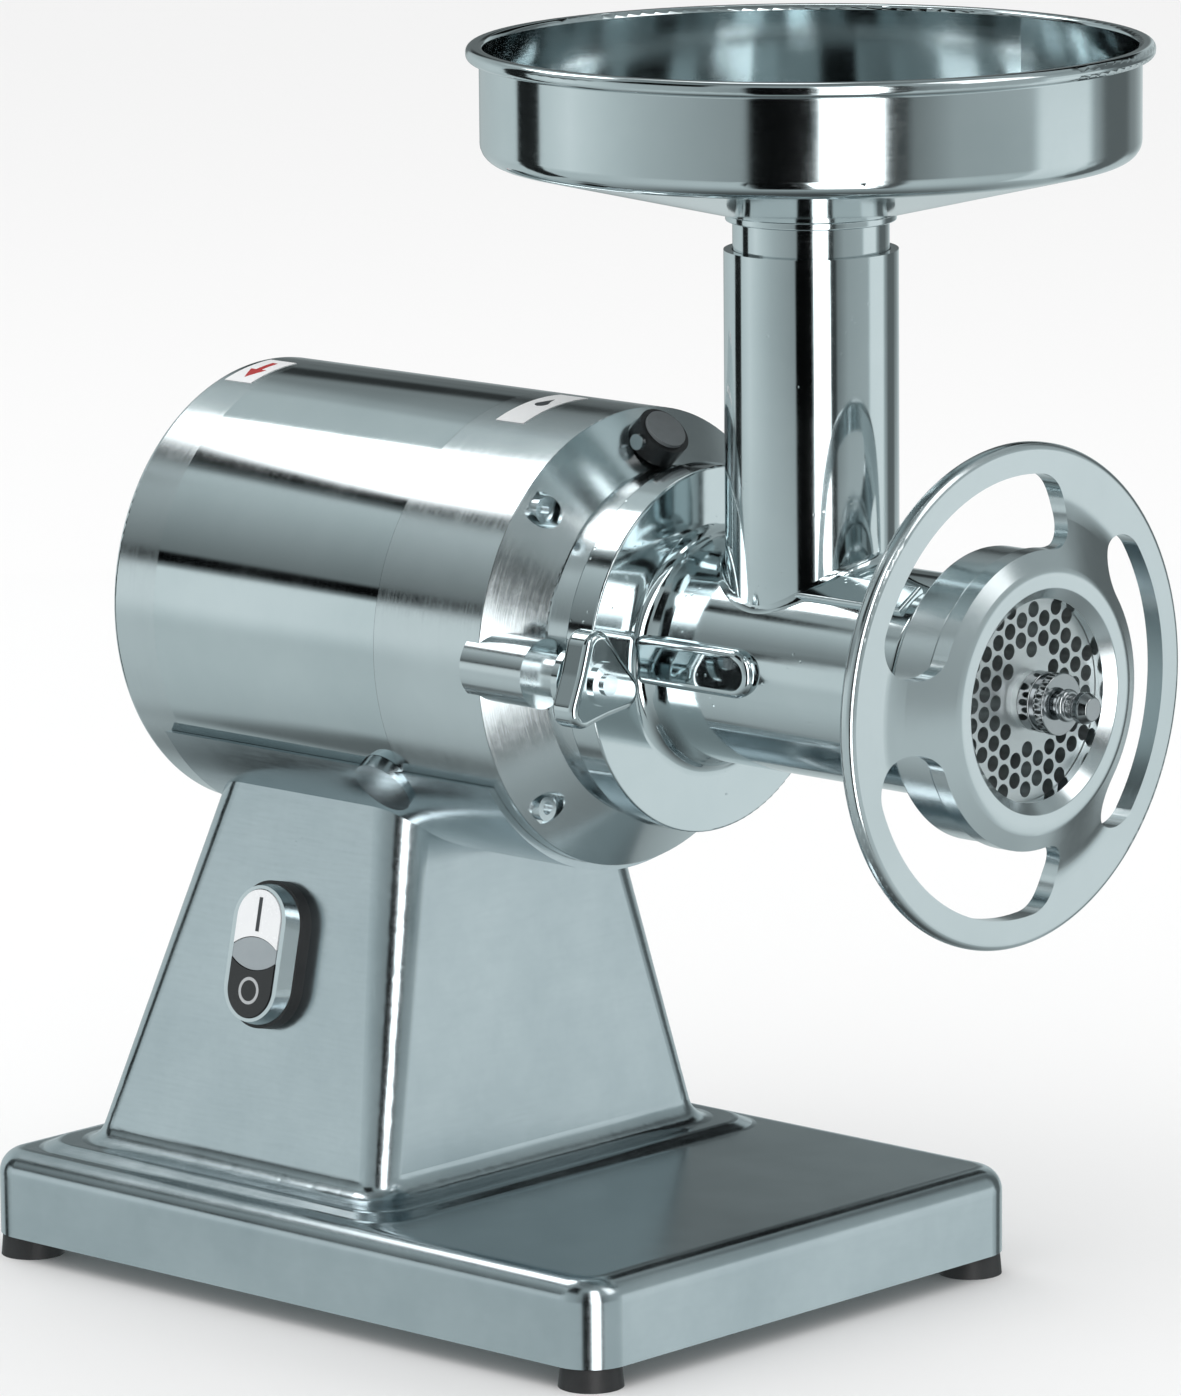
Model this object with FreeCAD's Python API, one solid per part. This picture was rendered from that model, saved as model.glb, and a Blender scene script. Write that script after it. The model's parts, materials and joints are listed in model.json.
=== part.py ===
import FreeCAD, Part
import math
import os

os.makedirs("parts", exist_ok=True)
V = FreeCAD.Vector

# Electric meat grinder.  Millimetres, +Z up, mouth towards -Y.
# y = 0 is the feed neck's axis while the pieces are drawn; each piece is moved to the row frame on export.

# ---- clearances ----
SEAT = 0.1          # between fixed pieces that fit round each other
RUN = 0.3           # between bodies that move past each other
JOURNAL = 0.05      # radial, shaft in a plain bore or bearing
CUT = 1.0           # how far a cutting tool runs past a face

# ---- machine axis and motor drum ----
AXIS_Z = 253.5
DRUM_R = 86.2
DRUM_WALL = 3.0
DRUM_FRONT_Y = 140.6
DRUM_REAR_Y = 256.3
REAR_FACE_Y = 279.1
REAR_EDGE_R = 2.5

# ---- gear case: ring, cone, nose and head socket ----
CASE_EDGE_Y = 87.2
CONE_FOOT_Y = 73.2
CONE_FOOT_R = 65.4
NOSE_R = 64.5
NOSE_Y = 61.0
CASE_BORE_R = 73.0
CASE_FLOOR_Y = 79.5
CASE_HUB_WALL = 5.4
SOCKET_R = 30.2
SOCKET_DEPTH = 5.0
CASE_SCREW_PCR = 79.0
CASE_SCREW_COUNT = 4
CASE_SCREW_R = 3.0
CASE_SCREW_HEAD_R = 4.8
CASE_SCREW_HEAD_H = 4.0
CASE_POCKET_R = 6.6
CASE_POCKET_Y = 85.4

# ---- head casting ----
FLANGE_R = 68.5
FLANGE_FRONT_Y = 47.9
TAIL_R = 30.0
TAIL_LENGTH = 4.6
ROOT_R = 43.5
ROOT_LENGTH = 8.0
BARREL_R = 40.5
BARREL_BORE_R = 34.0
BARREL_BACK_Y = 44.5
COLLAR_R = 48.0
COLLAR_BACK_Y = -80.0
COLLAR_RAMP = 7.0
BARREL_FRONT_Y = -101.6
NECK_R = 31.9
NECK_BORE_R = 28.9
NECK_TOP_Z = 407.4
NECK_FILLET = 5.0
LUG_Y0 = -8.0
LUG_Y1 = 46.0
LUG_DZ = 2.5
LUG_HALF = 9.0
LUG_PROUD = 5.0
PAD_Y0 = -66.0
PAD_Y1 = -12.0
PAD_HALF = 7.0
PAD_PROUD = 1.6
PAD_ANGLE = 122.0

# ---- cutting parts ----
PLATE_R = 41.0
PLATE_T = 8.0
PLATE_FACE_Y = -103.3
PLATE_HOLE_R = 2.95
PLATE_PITCH = 7.25
PLATE_FIELD_R = 35.2
PLATE_HUB_R = 13.6
PLATE_BORE_R = 8.0
PLATE_BOSS_R = 10.4
PLATE_BOSS_H = 2.6
PLATE_TURN = -4.0
KEY_R = 2.5
KEY_LENGTH = 5.0
KNIFE_R = 38.0
KNIFE_HUB_R = 14.0
KNIFE_T = 8.0
KNIFE_BLADES = 4
KNIFE_BLADE_W = 11.0
SQUARE = 13.0
AUGER_R = 33.6
AUGER_CORE_R = 14.0
AUGER_PITCH = 44.0
AUGER_FLIGHT_T = 6.0
AUGER_TURNS = 2.6
AUGER_BACK_Y = 44.0
JOURNAL_R = 12.0
TANG_LENGTH = 14.0

# ---- front pin ----
PIN_STEM_R = 7.7
PIN_COLLAR_R = 11.0
PIN_GROOVE_R = 9.4
PIN_WASHER_R = 11.3
PIN_RING_R = 6.0
PIN_WAIST_R = 4.3
PIN_BALL_R = 5.8
PIN_TIP_R = 4.2
PIN_COLLAR_Y0 = -106.4
PIN_COLLAR_Y1 = -111.6
PIN_WASHER_Y0 = -114.6
PIN_WASHER_Y1 = -118.3
PIN_RING_Y0 = -119.6
PIN_RING_Y1 = -122.6
PIN_BALL_Y0 = -125.6
PIN_TIP_Y = -133.0

# ---- handwheel ring nut ----
WHEEL_R = 92.2
WHEEL_RIM_IN_R = 81.0
WHEEL_FRONT_Y = -98.6
WHEEL_RIM_T = 6.6
WHEEL_RIM_ROUND = 2.8
HUB_R = 53.4
HUB_BACK_Y = -82.8
HUB_FRONT_Y = -110.7
MOUTH_R = 37.0
MOUTH_LIP_R = 41.1
MOUTH_STEP = 3.6
HUB_FACE_R = 47.0
WINDOW_COUNT = 3
WINDOW_IN_R = 54.6
WINDOW_HALF_DEG = 37.0
WINDOW_START_DEG = -2.0

# ---- hopper ----
HOPPER_R = 120.0
HOPPER_BEAD_R = HOPPER_R + 4.8
HOPPER_TOP_Z = 482.8
HOPPER_SHEET = 1.5
HOPPER_BEAD_H = 5.4
HOPPER_WALL_FOOT_Z = 442.0
HOPPER_CORNER_R = 7.0
HOPPER_LIP_R = 31.2
HOPPER_LIP_Z = 418.0
HOPPER_LIP_H = 2.6
SPIGOT_R = 28.6
SPIGOT_DEPTH = 24.0

# ---- clamp knob ----
KNOB_X = -77.0
KNOB_R = 28.0
KNOB_VALLEY_R = 13.0
KNOB_T = 15.0
KNOB_FLANGE_R = 13.0
KNOB_FLANGE_T = 3.0
KNOB_BOSS_R = 8.3
KNOB_BOSS_H = 1.6
KNOB_LOBES = 3
KNOB_LOBE_ROUND = 7.0
KNOB_VALLEY_ROUND = 16.0
KNOB_TURN = 100.0
KNOB_EDGE = 2.8
STUD_R = 4.0
STUD_ROOT = 12.0
STUD_OUT = 1.2
BOSS_R = 13.0
BOSS_FRONT_Y = 62.8
SPACER_R = 8.0

# ---- oil filler ----
OIL_Y = 78.5
OIL_TILT = 45.0
OIL_BODY_R = 10.4
OIL_BODY_H = 8.4
OIL_CAP_R = 8.2
OIL_CAP_H = 1.5
OIL_STEM_R = 6.0
OIL_STEM_L = 9.0
OIL_POCKET_GAP = 0.8
OIL_SCREW_R = 3.0
OIL_SCREW_H = 2.0

# ---- base casting ----
BASE_W = 240.3
BASE_FRONT_Y = 1.6
BASE_REAR_Y = 321.7
BASE_BOTTOM_Z = 8.9
BASE_TOP_Z = 42.0
BASE_CORNER_R = 16.2
BASE_EDGE_R = 9.5
BASE_WALL = 6.0
LEDGE_RISE = 2.8
LEDGE_RUN = 5.0
LEDGE_INSET = BASE_EDGE_R + 2.0
LEDGE_FRONT_Y = 117.5
LEDGE_ROUND = 5.0
COLUMN_FOOT_HALF = 91.9
COLUMN_FOOT_FRONT_Y = 136.2
COLUMN_FOOT_REAR_Y = 293.6
COLUMN_FOOT_R = 10.7
COLUMN_TOP_Z = 180.0
COLUMN_TOP_HALF = 61.1
COLUMN_TOP_FRONT_Y = 151.5
COLUMN_TOP_REAR_Y = 255.9
COLUMN_TOP_R = 15.4
COLUMN_WALL = 6.0
COLUMN_FILLET = 9.5
CRADLE_R = DRUM_R + 2.8
CRADLE_FRONT_Y = 93.0
CRADLE_REAR_Y = 262.0
CRADLE_DROP = 47.0
SADDLE_PAD_R = 12.0
SADDLE_PAD_Y = 150.0
SADDLE_PAD_DEG = 217.0
SADDLE_PAD_PROUD = 1.8

# ---- feet, bottom plate, screws ----
FOOT_H = BASE_BOTTOM_Z
FOOT_R = 12.2
FOOT_TOP_R = 11.4
FOOT_INSET = 13.4
FOOT_RECESS_R = 5.5
FOOT_RECESS_H = 4.5
FOOT_SCREW_R = 2.5
FOOT_SCREW_HEAD_R = 4.6
FOOT_SCREW_HEAD_H = 3.0
FOOT_SCREW_L = 18.0
CORNER_BOSS_R = 12.0
PLATE_SHEET = 3.0
PLATE_RECESS = 1.0
PLATE_SIDE_GAP = 0.6
RAIL_W = 9.0
RAIL_H = 8.0
SHEET_SCREW_R = 2.0
SHEET_SCREW_HEAD_R = 3.8
SHEET_SCREW_HEAD_H = 2.2
SHEET_SCREW_L = 8.0
SHEET_SCREW_YS = (75.0, 161.0, 247.0)

# ---- motor bolts ----
MOTOR_BOLT_R = 4.0
MOTOR_BOLT_X = 30.0
MOTOR_BOLT_YS = (163.0, 243.0)
MOTOR_BOLT_HEAD_R = 6.5
MOTOR_BOLT_HEAD_H = 6.0
MOTOR_BOSS_R = 8.0
MOTOR_BOSS_H = 6.1
MOTOR_THREAD_ROOF = 2.5
MOTOR_SEAT_T = 14.7
MOTOR_SEAT_Z = AXIS_Z - math.sqrt(DRUM_R ** 2 - MOTOR_BOLT_X ** 2)
COLUMN_ROOF_Z = MOTOR_SEAT_Z - MOTOR_SEAT_T
MOTOR_BOSS_TOP_Z = AXIS_Z - math.sqrt((DRUM_R - DRUM_WALL) ** 2 - MOTOR_BOLT_X ** 2) + MOTOR_BOSS_H
MOTOR_THREAD_TOP_Z = MOTOR_BOSS_TOP_Z - MOTOR_THREAD_ROOF

# ---- motor inside ----
STATOR_Y0 = 175.0
STATOR_Y1 = 231.0
STATOR_BORE_R = 50.2
ROTOR_R = 49.7
WINDING_OUT_R = 70.0
WINDING_IN_R = 53.0
WINDING_L = 14.0
SHAFT_R = 10.0
SHAFT_NOSE_R = 8.0
SHAFT_FRONT_Y = 115.5
SHIELD_T = 10.0
FRONT_BEARING_R = 20.0
REAR_BEARING_R = 17.5
BEARING_W = 8.0
REAR_HUB_R = 24.0
REAR_FLOOR = 5.5
REAR_WALL = 5.0
REAR_BEARING_Y = 262.0
REAR_SCREW_PCR = 77.0
REAR_SCREW_R = 2.5
REAR_SCREW_HEAD_R = 4.5
REAR_SCREW_HEAD_H = 3.0
REAR_SCREW_L = 28.0
REAR_LUG_R = 5.5
REAR_LUG_L = 13.0

# ---- gears (two stages on one centre distance) ----
CENTRES = 40.0
PRESSURE_DEG = 20.0
ADDENDUM = 0.8
DEDENDUM = 1.15
BACKLASH = 0.16
FLANK_POINTS = 5
PINION_TEETH = 16
LAY_GEAR_TEETH = 48
LAY_PINION_TEETH = 12
OUTPUT_TEETH = 36
STAGE1_Y = 117.0
STAGE1_W = 12.0
STAGE2_Y = 91.0
STAGE2_W = 17.0
LAY_SHAFT_R = 7.5
LAY_BEARING_R = 14.0
LAY_FRONT_Y = 72.0
OUT_SHAFT_R = 14.0
OUT_SHAFT_Y1 = 111.0
OUT_BEARING_R = 26.0
OUT_BEARING_Y = 71.0
OUT_BEARING_W = 12.0
SEAL_R = 22.0
SEAL_W = 4.0

# ---- push-button unit ----
SWITCH_Y = 207.8
SWITCH_Z = 126.6
SWITCH_HOLE_R = 11.2
BUTTON_W = 22.6
BUTTON_H = 48.8
BUTTON_T = 5.5
BUTTON_FRONT = 11.3
LENS_ARC_R = 18.8
LENS_HALF = 6.15
LENS_FRONT = 11.0
BEZEL_W = 32.6
BEZEL_H = 54.6
BEZEL_TOP_W = 27.6
BEZEL_TOP_H = 52.0
BEZEL_BACK = 5.4
BEZEL_FRONT = 10.8
GASKET_W = 34.4
GASKET_H = 56.4
GASKET_WEB = 3.4
SWITCH_FLOOR = 3.0
BLOCK_W = 30.0
BLOCK_H = 42.0
BLOCK_DEPTH = 42.0
NUT_R = 15.0
NUT_T = 4.0
MARK_T = 0.15
MARK_I_W = 1.7
MARK_I_H = 13.0
MARK_O_R = 5.2
MARK_O_WALL = 1.2
MARK_I_V = 15.0
MARK_O_V = -14.2

# ---- electrical parts and cord inlet ----
CAPACITOR_R = 19.0
CAPACITOR_L = 90.0
CAPACITOR_X = 58.0
CAPACITOR_Y = 170.0
CONTACTOR_W = 45.0
CONTACTOR_L = 62.0
CONTACTOR_H = 38.0
CONTACTOR_X = -82.0
CONTACTOR_Y = 180.0
GLAND_X = 60.0
GLAND_Z = 23.2
GLAND_THREAD_R = 8.0
GLAND_HEX_R = 11.0
GLAND_HEX_T = 5.0
GLAND_DOME_R = 10.0
GLAND_DOME_L = 13.0
GLAND_BORE_R = 4.5
GLAND_NUT_T = 4.0

# ---- labels ----
LABEL_T = 0.2
ARROW_LABEL_Y0 = 260.5
ARROW_LABEL_Y1 = 274.5
ARROW_LABEL_DEG0 = 92.0
ARROW_LABEL_DEG1 = 109.0
OIL_LABEL_Y0 = 116.5
OIL_LABEL_Y1 = 130.5
OIL_LABEL_DEG0 = 86.0
OIL_LABEL_DEG1 = 110.0

# ---- row frame: the middle of the outer box, at the floor ----
GLAND_END_Y = BASE_REAR_Y + GLAND_HEX_T + GLAND_DOME_L
MID_Y = (GLAND_END_Y + PIN_TIP_Y) / 2.0

X_AXIS = V(1, 0, 0)
Y_AXIS = V(0, 1, 0)
Z_AXIS = V(0, 0, 1)
FULL = 360.0
QUARTER = 90.0


def save(name, *shapes):
    solids = [s for shape in shapes for s in shape.Solids]
    body = solids[0] if len(solids) == 1 else Part.makeCompound(solids)
    body = body.copy()
    body.translate(V(0, -MID_Y, 0))
    body.exportStep("parts/" + name + ".step")


def outline(corners):
    """Closed wire in the XY plane through (x, y, corner radius) points."""
    points = [V(c[0], c[1], 0) for c in corners]
    count = len(points)
    arcs = []
    for i in range(count):
        here = points[i]
        back = (points[i - 1] - here).normalize()
        ahead = (points[(i + 1) % count] - here).normalize()
        radius = corners[i][2] if len(corners[i]) > 2 else 0.0
        if radius <= 0:
            arcs.append((here, None, here))
            continue
        half = back.getAngle(ahead) / 2.0
        reach = radius / math.tan(half)
        middle = (back + ahead).normalize()
        centre = here + middle * (radius / math.sin(half))
        arcs.append((here + back * reach, centre - middle * radius, here + ahead * reach))
    edges = []
    for i in range(count):
        start, mid, end = arcs[i]
        if mid is not None:
            edges.append(Part.Arc(start, mid, end).toShape())
        following = arcs[(i + 1) % count][0]
        if end.distanceToPoint(following) > 1e-6:
            edges.append(Part.makeLine(end, following))
    return Part.Wire(edges)


def turned(corners, about_y=True):
    """Solid of revolution of (radius, height, corner radius) points."""
    face = Part.Face(outline(corners))
    solid = face.revolve(V(0, 0, 0), Y_AXIS, FULL)
    if about_y:
        solid.translate(V(0, 0, AXIS_Z))
    else:
        solid.rotate(V(0, 0, 0), X_AXIS, QUARTER)
    return solid


def rod_y(radius, y_from, y_to, x=0.0, z=AXIS_Z):
    return Part.makeCylinder(radius, abs(y_to - y_from), V(x, min(y_from, y_to), z), Y_AXIS)


def ring_y(outer, inner, y_from, y_to, x=0.0, z=AXIS_Z):
    return rod_y(outer, y_from, y_to, x, z).cut(
        rod_y(inner, min(y_from, y_to) - CUT, max(y_from, y_to) + CUT, x, z))


def rod_z(radius, z_from, z_to, x=0.0, y=0.0):
    return Part.makeCylinder(radius, z_to - z_from, V(x, y, z_from), Z_AXIS)


def box(x0, x1, y0, y1, z0, z1):
    return Part.makeBox(x1 - x0, y1 - y0, z1 - z0, V(x0, y0, z0))


def union(first, others):
    shape = first
    for other in others:
        shape = shape.fuse(other)
    return shape.removeSplitter()


def polar(radius, degrees):
    """Offset (x, z) across the machine axis."""
    return radius * math.cos(math.radians(degrees)), radius * math.sin(math.radians(degrees))


def frame_wire(x0, x1, y0, y1, radius, z):
    wire = outline([(x0, y0, radius), (x1, y0, radius), (x1, y1, radius), (x0, y1, radius)])
    wire.translate(V(0, 0, z))
    return wire


def stadium(width, height):
    half = width / 2.0
    rise = height / 2.0 - half
    return Part.Wire([
        Part.makeLine(V(half, -rise, 0), V(half, rise, 0)),
        Part.Arc(V(half, rise, 0), V(0, rise + half, 0), V(-half, rise, 0)).toShape(),
        Part.makeLine(V(-half, rise, 0), V(-half, -rise, 0)),
        Part.Arc(V(-half, -rise, 0), V(0, -rise - half, 0), V(half, -rise, 0)).toShape()])


def slab(wire, low, high):
    solid = Part.Face(wire).extrude(V(0, 0, high - low))
    solid.translate(V(0, 0, low))
    return solid


def on_switch_face(shape):
    """Place a shape drawn with +Z out of the panel and +Y up it onto the column's side."""
    slope = (COLUMN_FOOT_HALF - COLUMN_TOP_HALF) / (COLUMN_TOP_Z - BASE_TOP_Z)
    lean = math.atan(slope)
    up = V(math.sin(lean), 0, math.cos(lean))
    out = V(-math.cos(lean), 0, math.sin(lean))
    side = up.cross(out)
    x = -COLUMN_FOOT_HALF + (SWITCH_Z - BASE_TOP_Z) * slope
    matrix = FreeCAD.Matrix(side.x, up.x, out.x, x,
                            side.y, up.y, out.y, SWITCH_Y,
                            side.z, up.z, out.z, SWITCH_Z,
                            0, 0, 0, 1)
    placed = shape.copy()
    placed.Placement = FreeCAD.Placement(matrix).multiply(placed.Placement)
    return placed


def gear(module, teeth, width, bore, y_from, x, z, tooth_deg):
    """Straight-toothed gear along Y; a tooth is centred on tooth_deg."""
    pitch_r = module * teeth / 2.0
    base_r = pitch_r * math.cos(math.radians(PRESSURE_DEG))
    tip_r = pitch_r + ADDENDUM * module
    root_r = pitch_r - DEDENDUM * module

    def involute(r):
        a = math.acos(min(1.0, base_r / r))
        return math.tan(a) - a

    pitch_half = math.pi / (2 * teeth) - BACKLASH / (2 * pitch_r)
    low_r = max(base_r, root_r)
    flank = [(root_r, pitch_half + involute(pitch_r))]
    for i in range(FLANK_POINTS):
        r = low_r + (tip_r - low_r) * i / (FLANK_POINTS - 1)
        flank.append((r, pitch_half + involute(pitch_r) - involute(r)))
    if low_r == root_r:
        flank = flank[1:]
    points = []
    for n in range(teeth):
        centre = 2 * math.pi * n / teeth + math.radians(tooth_deg)
        sides = [(r, -h) for r, h in flank] + [(r, h) for r, h in reversed(flank)]
        for r, h in sides:
            points.append(V(r * math.cos(centre + h), r * math.sin(centre + h), 0))
    points.append(points[0])
    solid = Part.Face(Part.makePolygon(points)).extrude(V(0, 0, width))
    solid = solid.cut(Part.makeCylinder(bore + JOURNAL, width + 2 * CUT, V(0, 0, -CUT)))
    solid.rotate(V(0, 0, 0), X_AXIS, QUARTER)
    solid.translate(V(x, y_from + width, z))
    return solid


# ======== base casting ========
half_w = BASE_W / 2.0
column_slope = (COLUMN_FOOT_HALF - COLUMN_TOP_HALF) / (COLUMN_TOP_Z - BASE_TOP_Z)


def column_wire(z, inset):
    share = (z - BASE_TOP_Z) / (COLUMN_TOP_Z - BASE_TOP_Z)
    half = COLUMN_FOOT_HALF + (COLUMN_TOP_HALF - COLUMN_FOOT_HALF) * share - inset
    front = COLUMN_FOOT_FRONT_Y + (COLUMN_TOP_FRONT_Y - COLUMN_FOOT_FRONT_Y) * share + inset
    rear = COLUMN_FOOT_REAR_Y + (COLUMN_TOP_REAR_Y - COLUMN_FOOT_REAR_Y) * share - inset
    corner = COLUMN_FOOT_R + (COLUMN_TOP_R - COLUMN_FOOT_R) * share - inset
    return frame_wire(-half, half, front, rear, max(corner, COLUMN_WALL / 2), z)


block = slab(frame_wire(-half_w, half_w, BASE_FRONT_Y, BASE_REAR_Y, BASE_CORNER_R, 0),
             BASE_BOTTOM_Z, BASE_TOP_Z)
top_edges = [e for e in block.Edges if abs(e.BoundBox.ZMin - BASE_TOP_Z) < SEAT
             and abs(e.BoundBox.ZMax - BASE_TOP_Z) < SEAT]
block = block.makeFillet(BASE_EDGE_R, top_edges)

column_cap_z = AXIS_Z - CRADLE_DROP
column = Part.makeLoft([column_wire(BASE_TOP_Z - BASE_WALL, 0), column_wire(column_cap_z, 0)],
                       True, True)
ledge_z = BASE_TOP_Z + LEDGE_RISE


def ledge_wire(inset, z):
    return frame_wire(-half_w + inset, half_w - inset, LEDGE_FRONT_Y + inset - LEDGE_INSET,
                      BASE_REAR_Y - inset, BASE_CORNER_R, z)


ledge = Part.makeLoft([ledge_wire(LEDGE_INSET - LEDGE_RUN, BASE_TOP_Z - LEDGE_RISE),
                       ledge_wire(LEDGE_INSET + LEDGE_RUN, ledge_z)], True, True)
block = block.fuse(ledge).removeSplitter()
ledge_rims = []
for e in block.Edges:
    b = e.BoundBox
    level = abs(b.ZMax - b.ZMin) < SEAT
    outer = b.YMin > LEDGE_FRONT_Y - CUT and b.ZMin > BASE_TOP_Z - SEAT
    if level and outer:
        ledge_rims.append(e)
block = block.makeFillet(LEDGE_ROUND, ledge_rims)
casting = block.fuse(column).removeSplitter()
foot_edges = []
for e in casting.Edges:
    b = e.BoundBox
    flat = abs(b.ZMin - ledge_z) < SEAT and abs(b.ZMax - ledge_z) < SEAT
    inside = abs(b.XMin) < COLUMN_FOOT_HALF + CUT and abs(b.XMax) < COLUMN_FOOT_HALF + CUT
    along = b.YMin > COLUMN_FOOT_FRONT_Y - CUT and b.YMax < COLUMN_FOOT_REAR_Y + CUT
    if flat and inside and along:
        foot_edges.append(e)
casting = casting.makeFillet(COLUMN_FILLET, foot_edges)

cradle = rod_y(CRADLE_R, CRADLE_FRONT_Y, CRADLE_REAR_Y).common(
    box(-CRADLE_R, CRADLE_R, CRADLE_FRONT_Y, CRADLE_REAR_Y, AXIS_Z - CRADLE_R - CUT, column_cap_z))
pad_x, pad_z = polar(1.0, SADDLE_PAD_DEG)
saddle_pads = []
for side in (1, -1):
    saddle_pads.append(Part.makeCylinder(
        SADDLE_PAD_R, CRADLE_R + SADDLE_PAD_PROUD, V(0, SADDLE_PAD_Y, AXIS_Z), V(side * pad_x, 0, pad_z)))
casting = casting.fuse(cradle)
for pad in saddle_pads:
    casting = casting.fuse(pad)
casting = casting.cut(rod_y(DRUM_R + SEAT, CRADLE_FRONT_Y - BASE_WALL, REAR_FACE_Y + BASE_WALL))

tray = slab(frame_wire(-half_w + BASE_WALL, half_w - BASE_WALL, BASE_FRONT_Y + BASE_WALL,
                       BASE_REAR_Y - BASE_WALL, BASE_CORNER_R - BASE_WALL, 0),
            BASE_BOTTOM_Z - CUT, BASE_TOP_Z - BASE_WALL)
shaft_way = Part.makeLoft([column_wire(BASE_TOP_Z - BASE_WALL - CUT, COLUMN_WALL),
                           column_wire(COLUMN_ROOF_Z, COLUMN_WALL)], True, True)
hollow = tray.fuse(shaft_way)

foot_spots = []
for x_side, x_name in ((-1, "left"), (1, "right")):
    for y, y_name in ((BASE_FRONT_Y + FOOT_INSET, "front"), (BASE_REAR_Y - FOOT_INSET, "rear")):
        foot_spots.append((x_side * (half_w - FOOT_INSET), y, "foot_" + y_name + "_" + x_name))
plate_low = BASE_BOTTOM_Z + PLATE_RECESS
plate_high = plate_low + PLATE_SHEET
rail_x = half_w - BASE_WALL - RAIL_W / 2.0
for x, y, name in foot_spots:
    hollow = hollow.cut(rod_z(CORNER_BOSS_R, BASE_BOTTOM_Z - 2 * CUT, BASE_TOP_Z, x, y))
for side in (-1, 1):
    for y in SHEET_SCREW_YS:
        hollow = hollow.cut(box(side * rail_x - RAIL_W / 2.0, side * rail_x + RAIL_W / 2.0,
                                y - RAIL_W / 2.0, y + RAIL_W / 2.0, plate_high, plate_high + RAIL_H))
casting = casting.cut(hollow)

for x, y, name in foot_spots:
    casting = casting.cut(rod_z(FOOT_SCREW_R + SEAT, BASE_BOTTOM_Z - CUT,
                                BASE_BOTTOM_Z + FOOT_SCREW_L, x, y))
for side in (-1, 1):
    for y in SHEET_SCREW_YS:
        casting = casting.cut(rod_z(SHEET_SCREW_R + SEAT, plate_high - CUT,
                                    plate_high + SHEET_SCREW_L - CUT, side * rail_x, y))
for side in (-1, 1):
    for y in MOTOR_BOLT_YS:
        casting = casting.cut(rod_z(MOTOR_BOLT_R + RUN, COLUMN_ROOF_Z - CUT, AXIS_Z,
                                    side * MOTOR_BOLT_X, y))
casting = casting.cut(on_switch_face(
    Part.makeCylinder(SWITCH_HOLE_R, 3 * COLUMN_WALL, V(0, 0, -2 * COLUMN_WALL))))
casting = casting.cut(rod_y(GLAND_THREAD_R + SEAT, BASE_REAR_Y - BASE_WALL - CUT,
                            BASE_REAR_Y + CUT, GLAND_X, GLAND_Z))
save("base_casting", casting)

# ======== bottom plate, feet and their screws ========
sheet = slab(frame_wire(-half_w + BASE_WALL + PLATE_SIDE_GAP, half_w - BASE_WALL - PLATE_SIDE_GAP,
                        BASE_FRONT_Y + BASE_WALL + PLATE_SIDE_GAP,
                        BASE_REAR_Y - BASE_WALL - PLATE_SIDE_GAP,
                        BASE_CORNER_R - BASE_WALL - PLATE_SIDE_GAP, 0), plate_low, plate_high)
foot_screws = []
for x, y, name in foot_spots:
    sheet = sheet.cut(rod_z(CORNER_BOSS_R + PLATE_SIDE_GAP, plate_low - CUT, plate_high + CUT, x, y))
    foot = Part.makeCone(FOOT_R, FOOT_TOP_R, FOOT_H, V(x, y, 0))
    foot = foot.cut(rod_z(FOOT_RECESS_R, -CUT, FOOT_RECESS_H, x, y))
    foot = foot.cut(rod_z(FOOT_SCREW_R + SEAT, 0, FOOT_H + CUT, x, y))
    save(name, foot)
    head = rod_z(FOOT_SCREW_HEAD_R, FOOT_RECESS_H - FOOT_SCREW_HEAD_H, FOOT_RECESS_H, x, y)
    stem = rod_z(FOOT_SCREW_R, FOOT_RECESS_H, BASE_BOTTOM_Z + FOOT_SCREW_L - CUT, x, y)
    foot_screws.append(head.fuse(stem).removeSplitter())
save("foot_screws", *foot_screws)

sheet_screws = []
for side in (-1, 1):
    for y in SHEET_SCREW_YS:
        x = side * rail_x
        sheet = sheet.cut(rod_z(SHEET_SCREW_R + SEAT, plate_low - CUT, plate_high + CUT, x, y))
        head = rod_z(SHEET_SCREW_HEAD_R, plate_low - SHEET_SCREW_HEAD_H, plate_low, x, y)
        stem = rod_z(SHEET_SCREW_R, plate_low, plate_high + SHEET_SCREW_L - 2 * CUT, x, y)
        sheet_screws.append(head.fuse(stem).removeSplitter())
save("bottom_plate", sheet)
save("bottom_plate_screws", *sheet_screws)

# ======== cord inlet and electrical parts ========
hexagon = [polar(GLAND_HEX_R, FULL * i / 6) for i in range(6)]


def hex_nut(y_from, y_to, bore):
    points = [V(GLAND_X + a, y_from, GLAND_Z + b) for a, b in hexagon]
    points.append(points[0])
    nut = Part.Face(Part.makePolygon(points)).extrude(V(0, y_to - y_from, 0))
    return nut.cut(rod_y(bore, y_from - CUT, y_to + CUT, GLAND_X, GLAND_Z))


hex_end_y = BASE_REAR_Y + GLAND_HEX_T
gland = hex_nut(BASE_REAR_Y, hex_end_y, GLAND_BORE_R)
gland = gland.fuse(ring_y(GLAND_DOME_R, GLAND_BORE_R, hex_end_y, GLAND_END_Y, GLAND_X, GLAND_Z))
gland = gland.fuse(ring_y(GLAND_THREAD_R, GLAND_BORE_R, BASE_REAR_Y - BASE_WALL - 2 * GLAND_NUT_T,
                          BASE_REAR_Y, GLAND_X, GLAND_Z)).removeSplitter()
save("cable_gland", gland)
gland_back = BASE_REAR_Y - BASE_WALL
save("gland_locknut", hex_nut(gland_back - GLAND_NUT_T, gland_back, GLAND_THREAD_R + SEAT))

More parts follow.
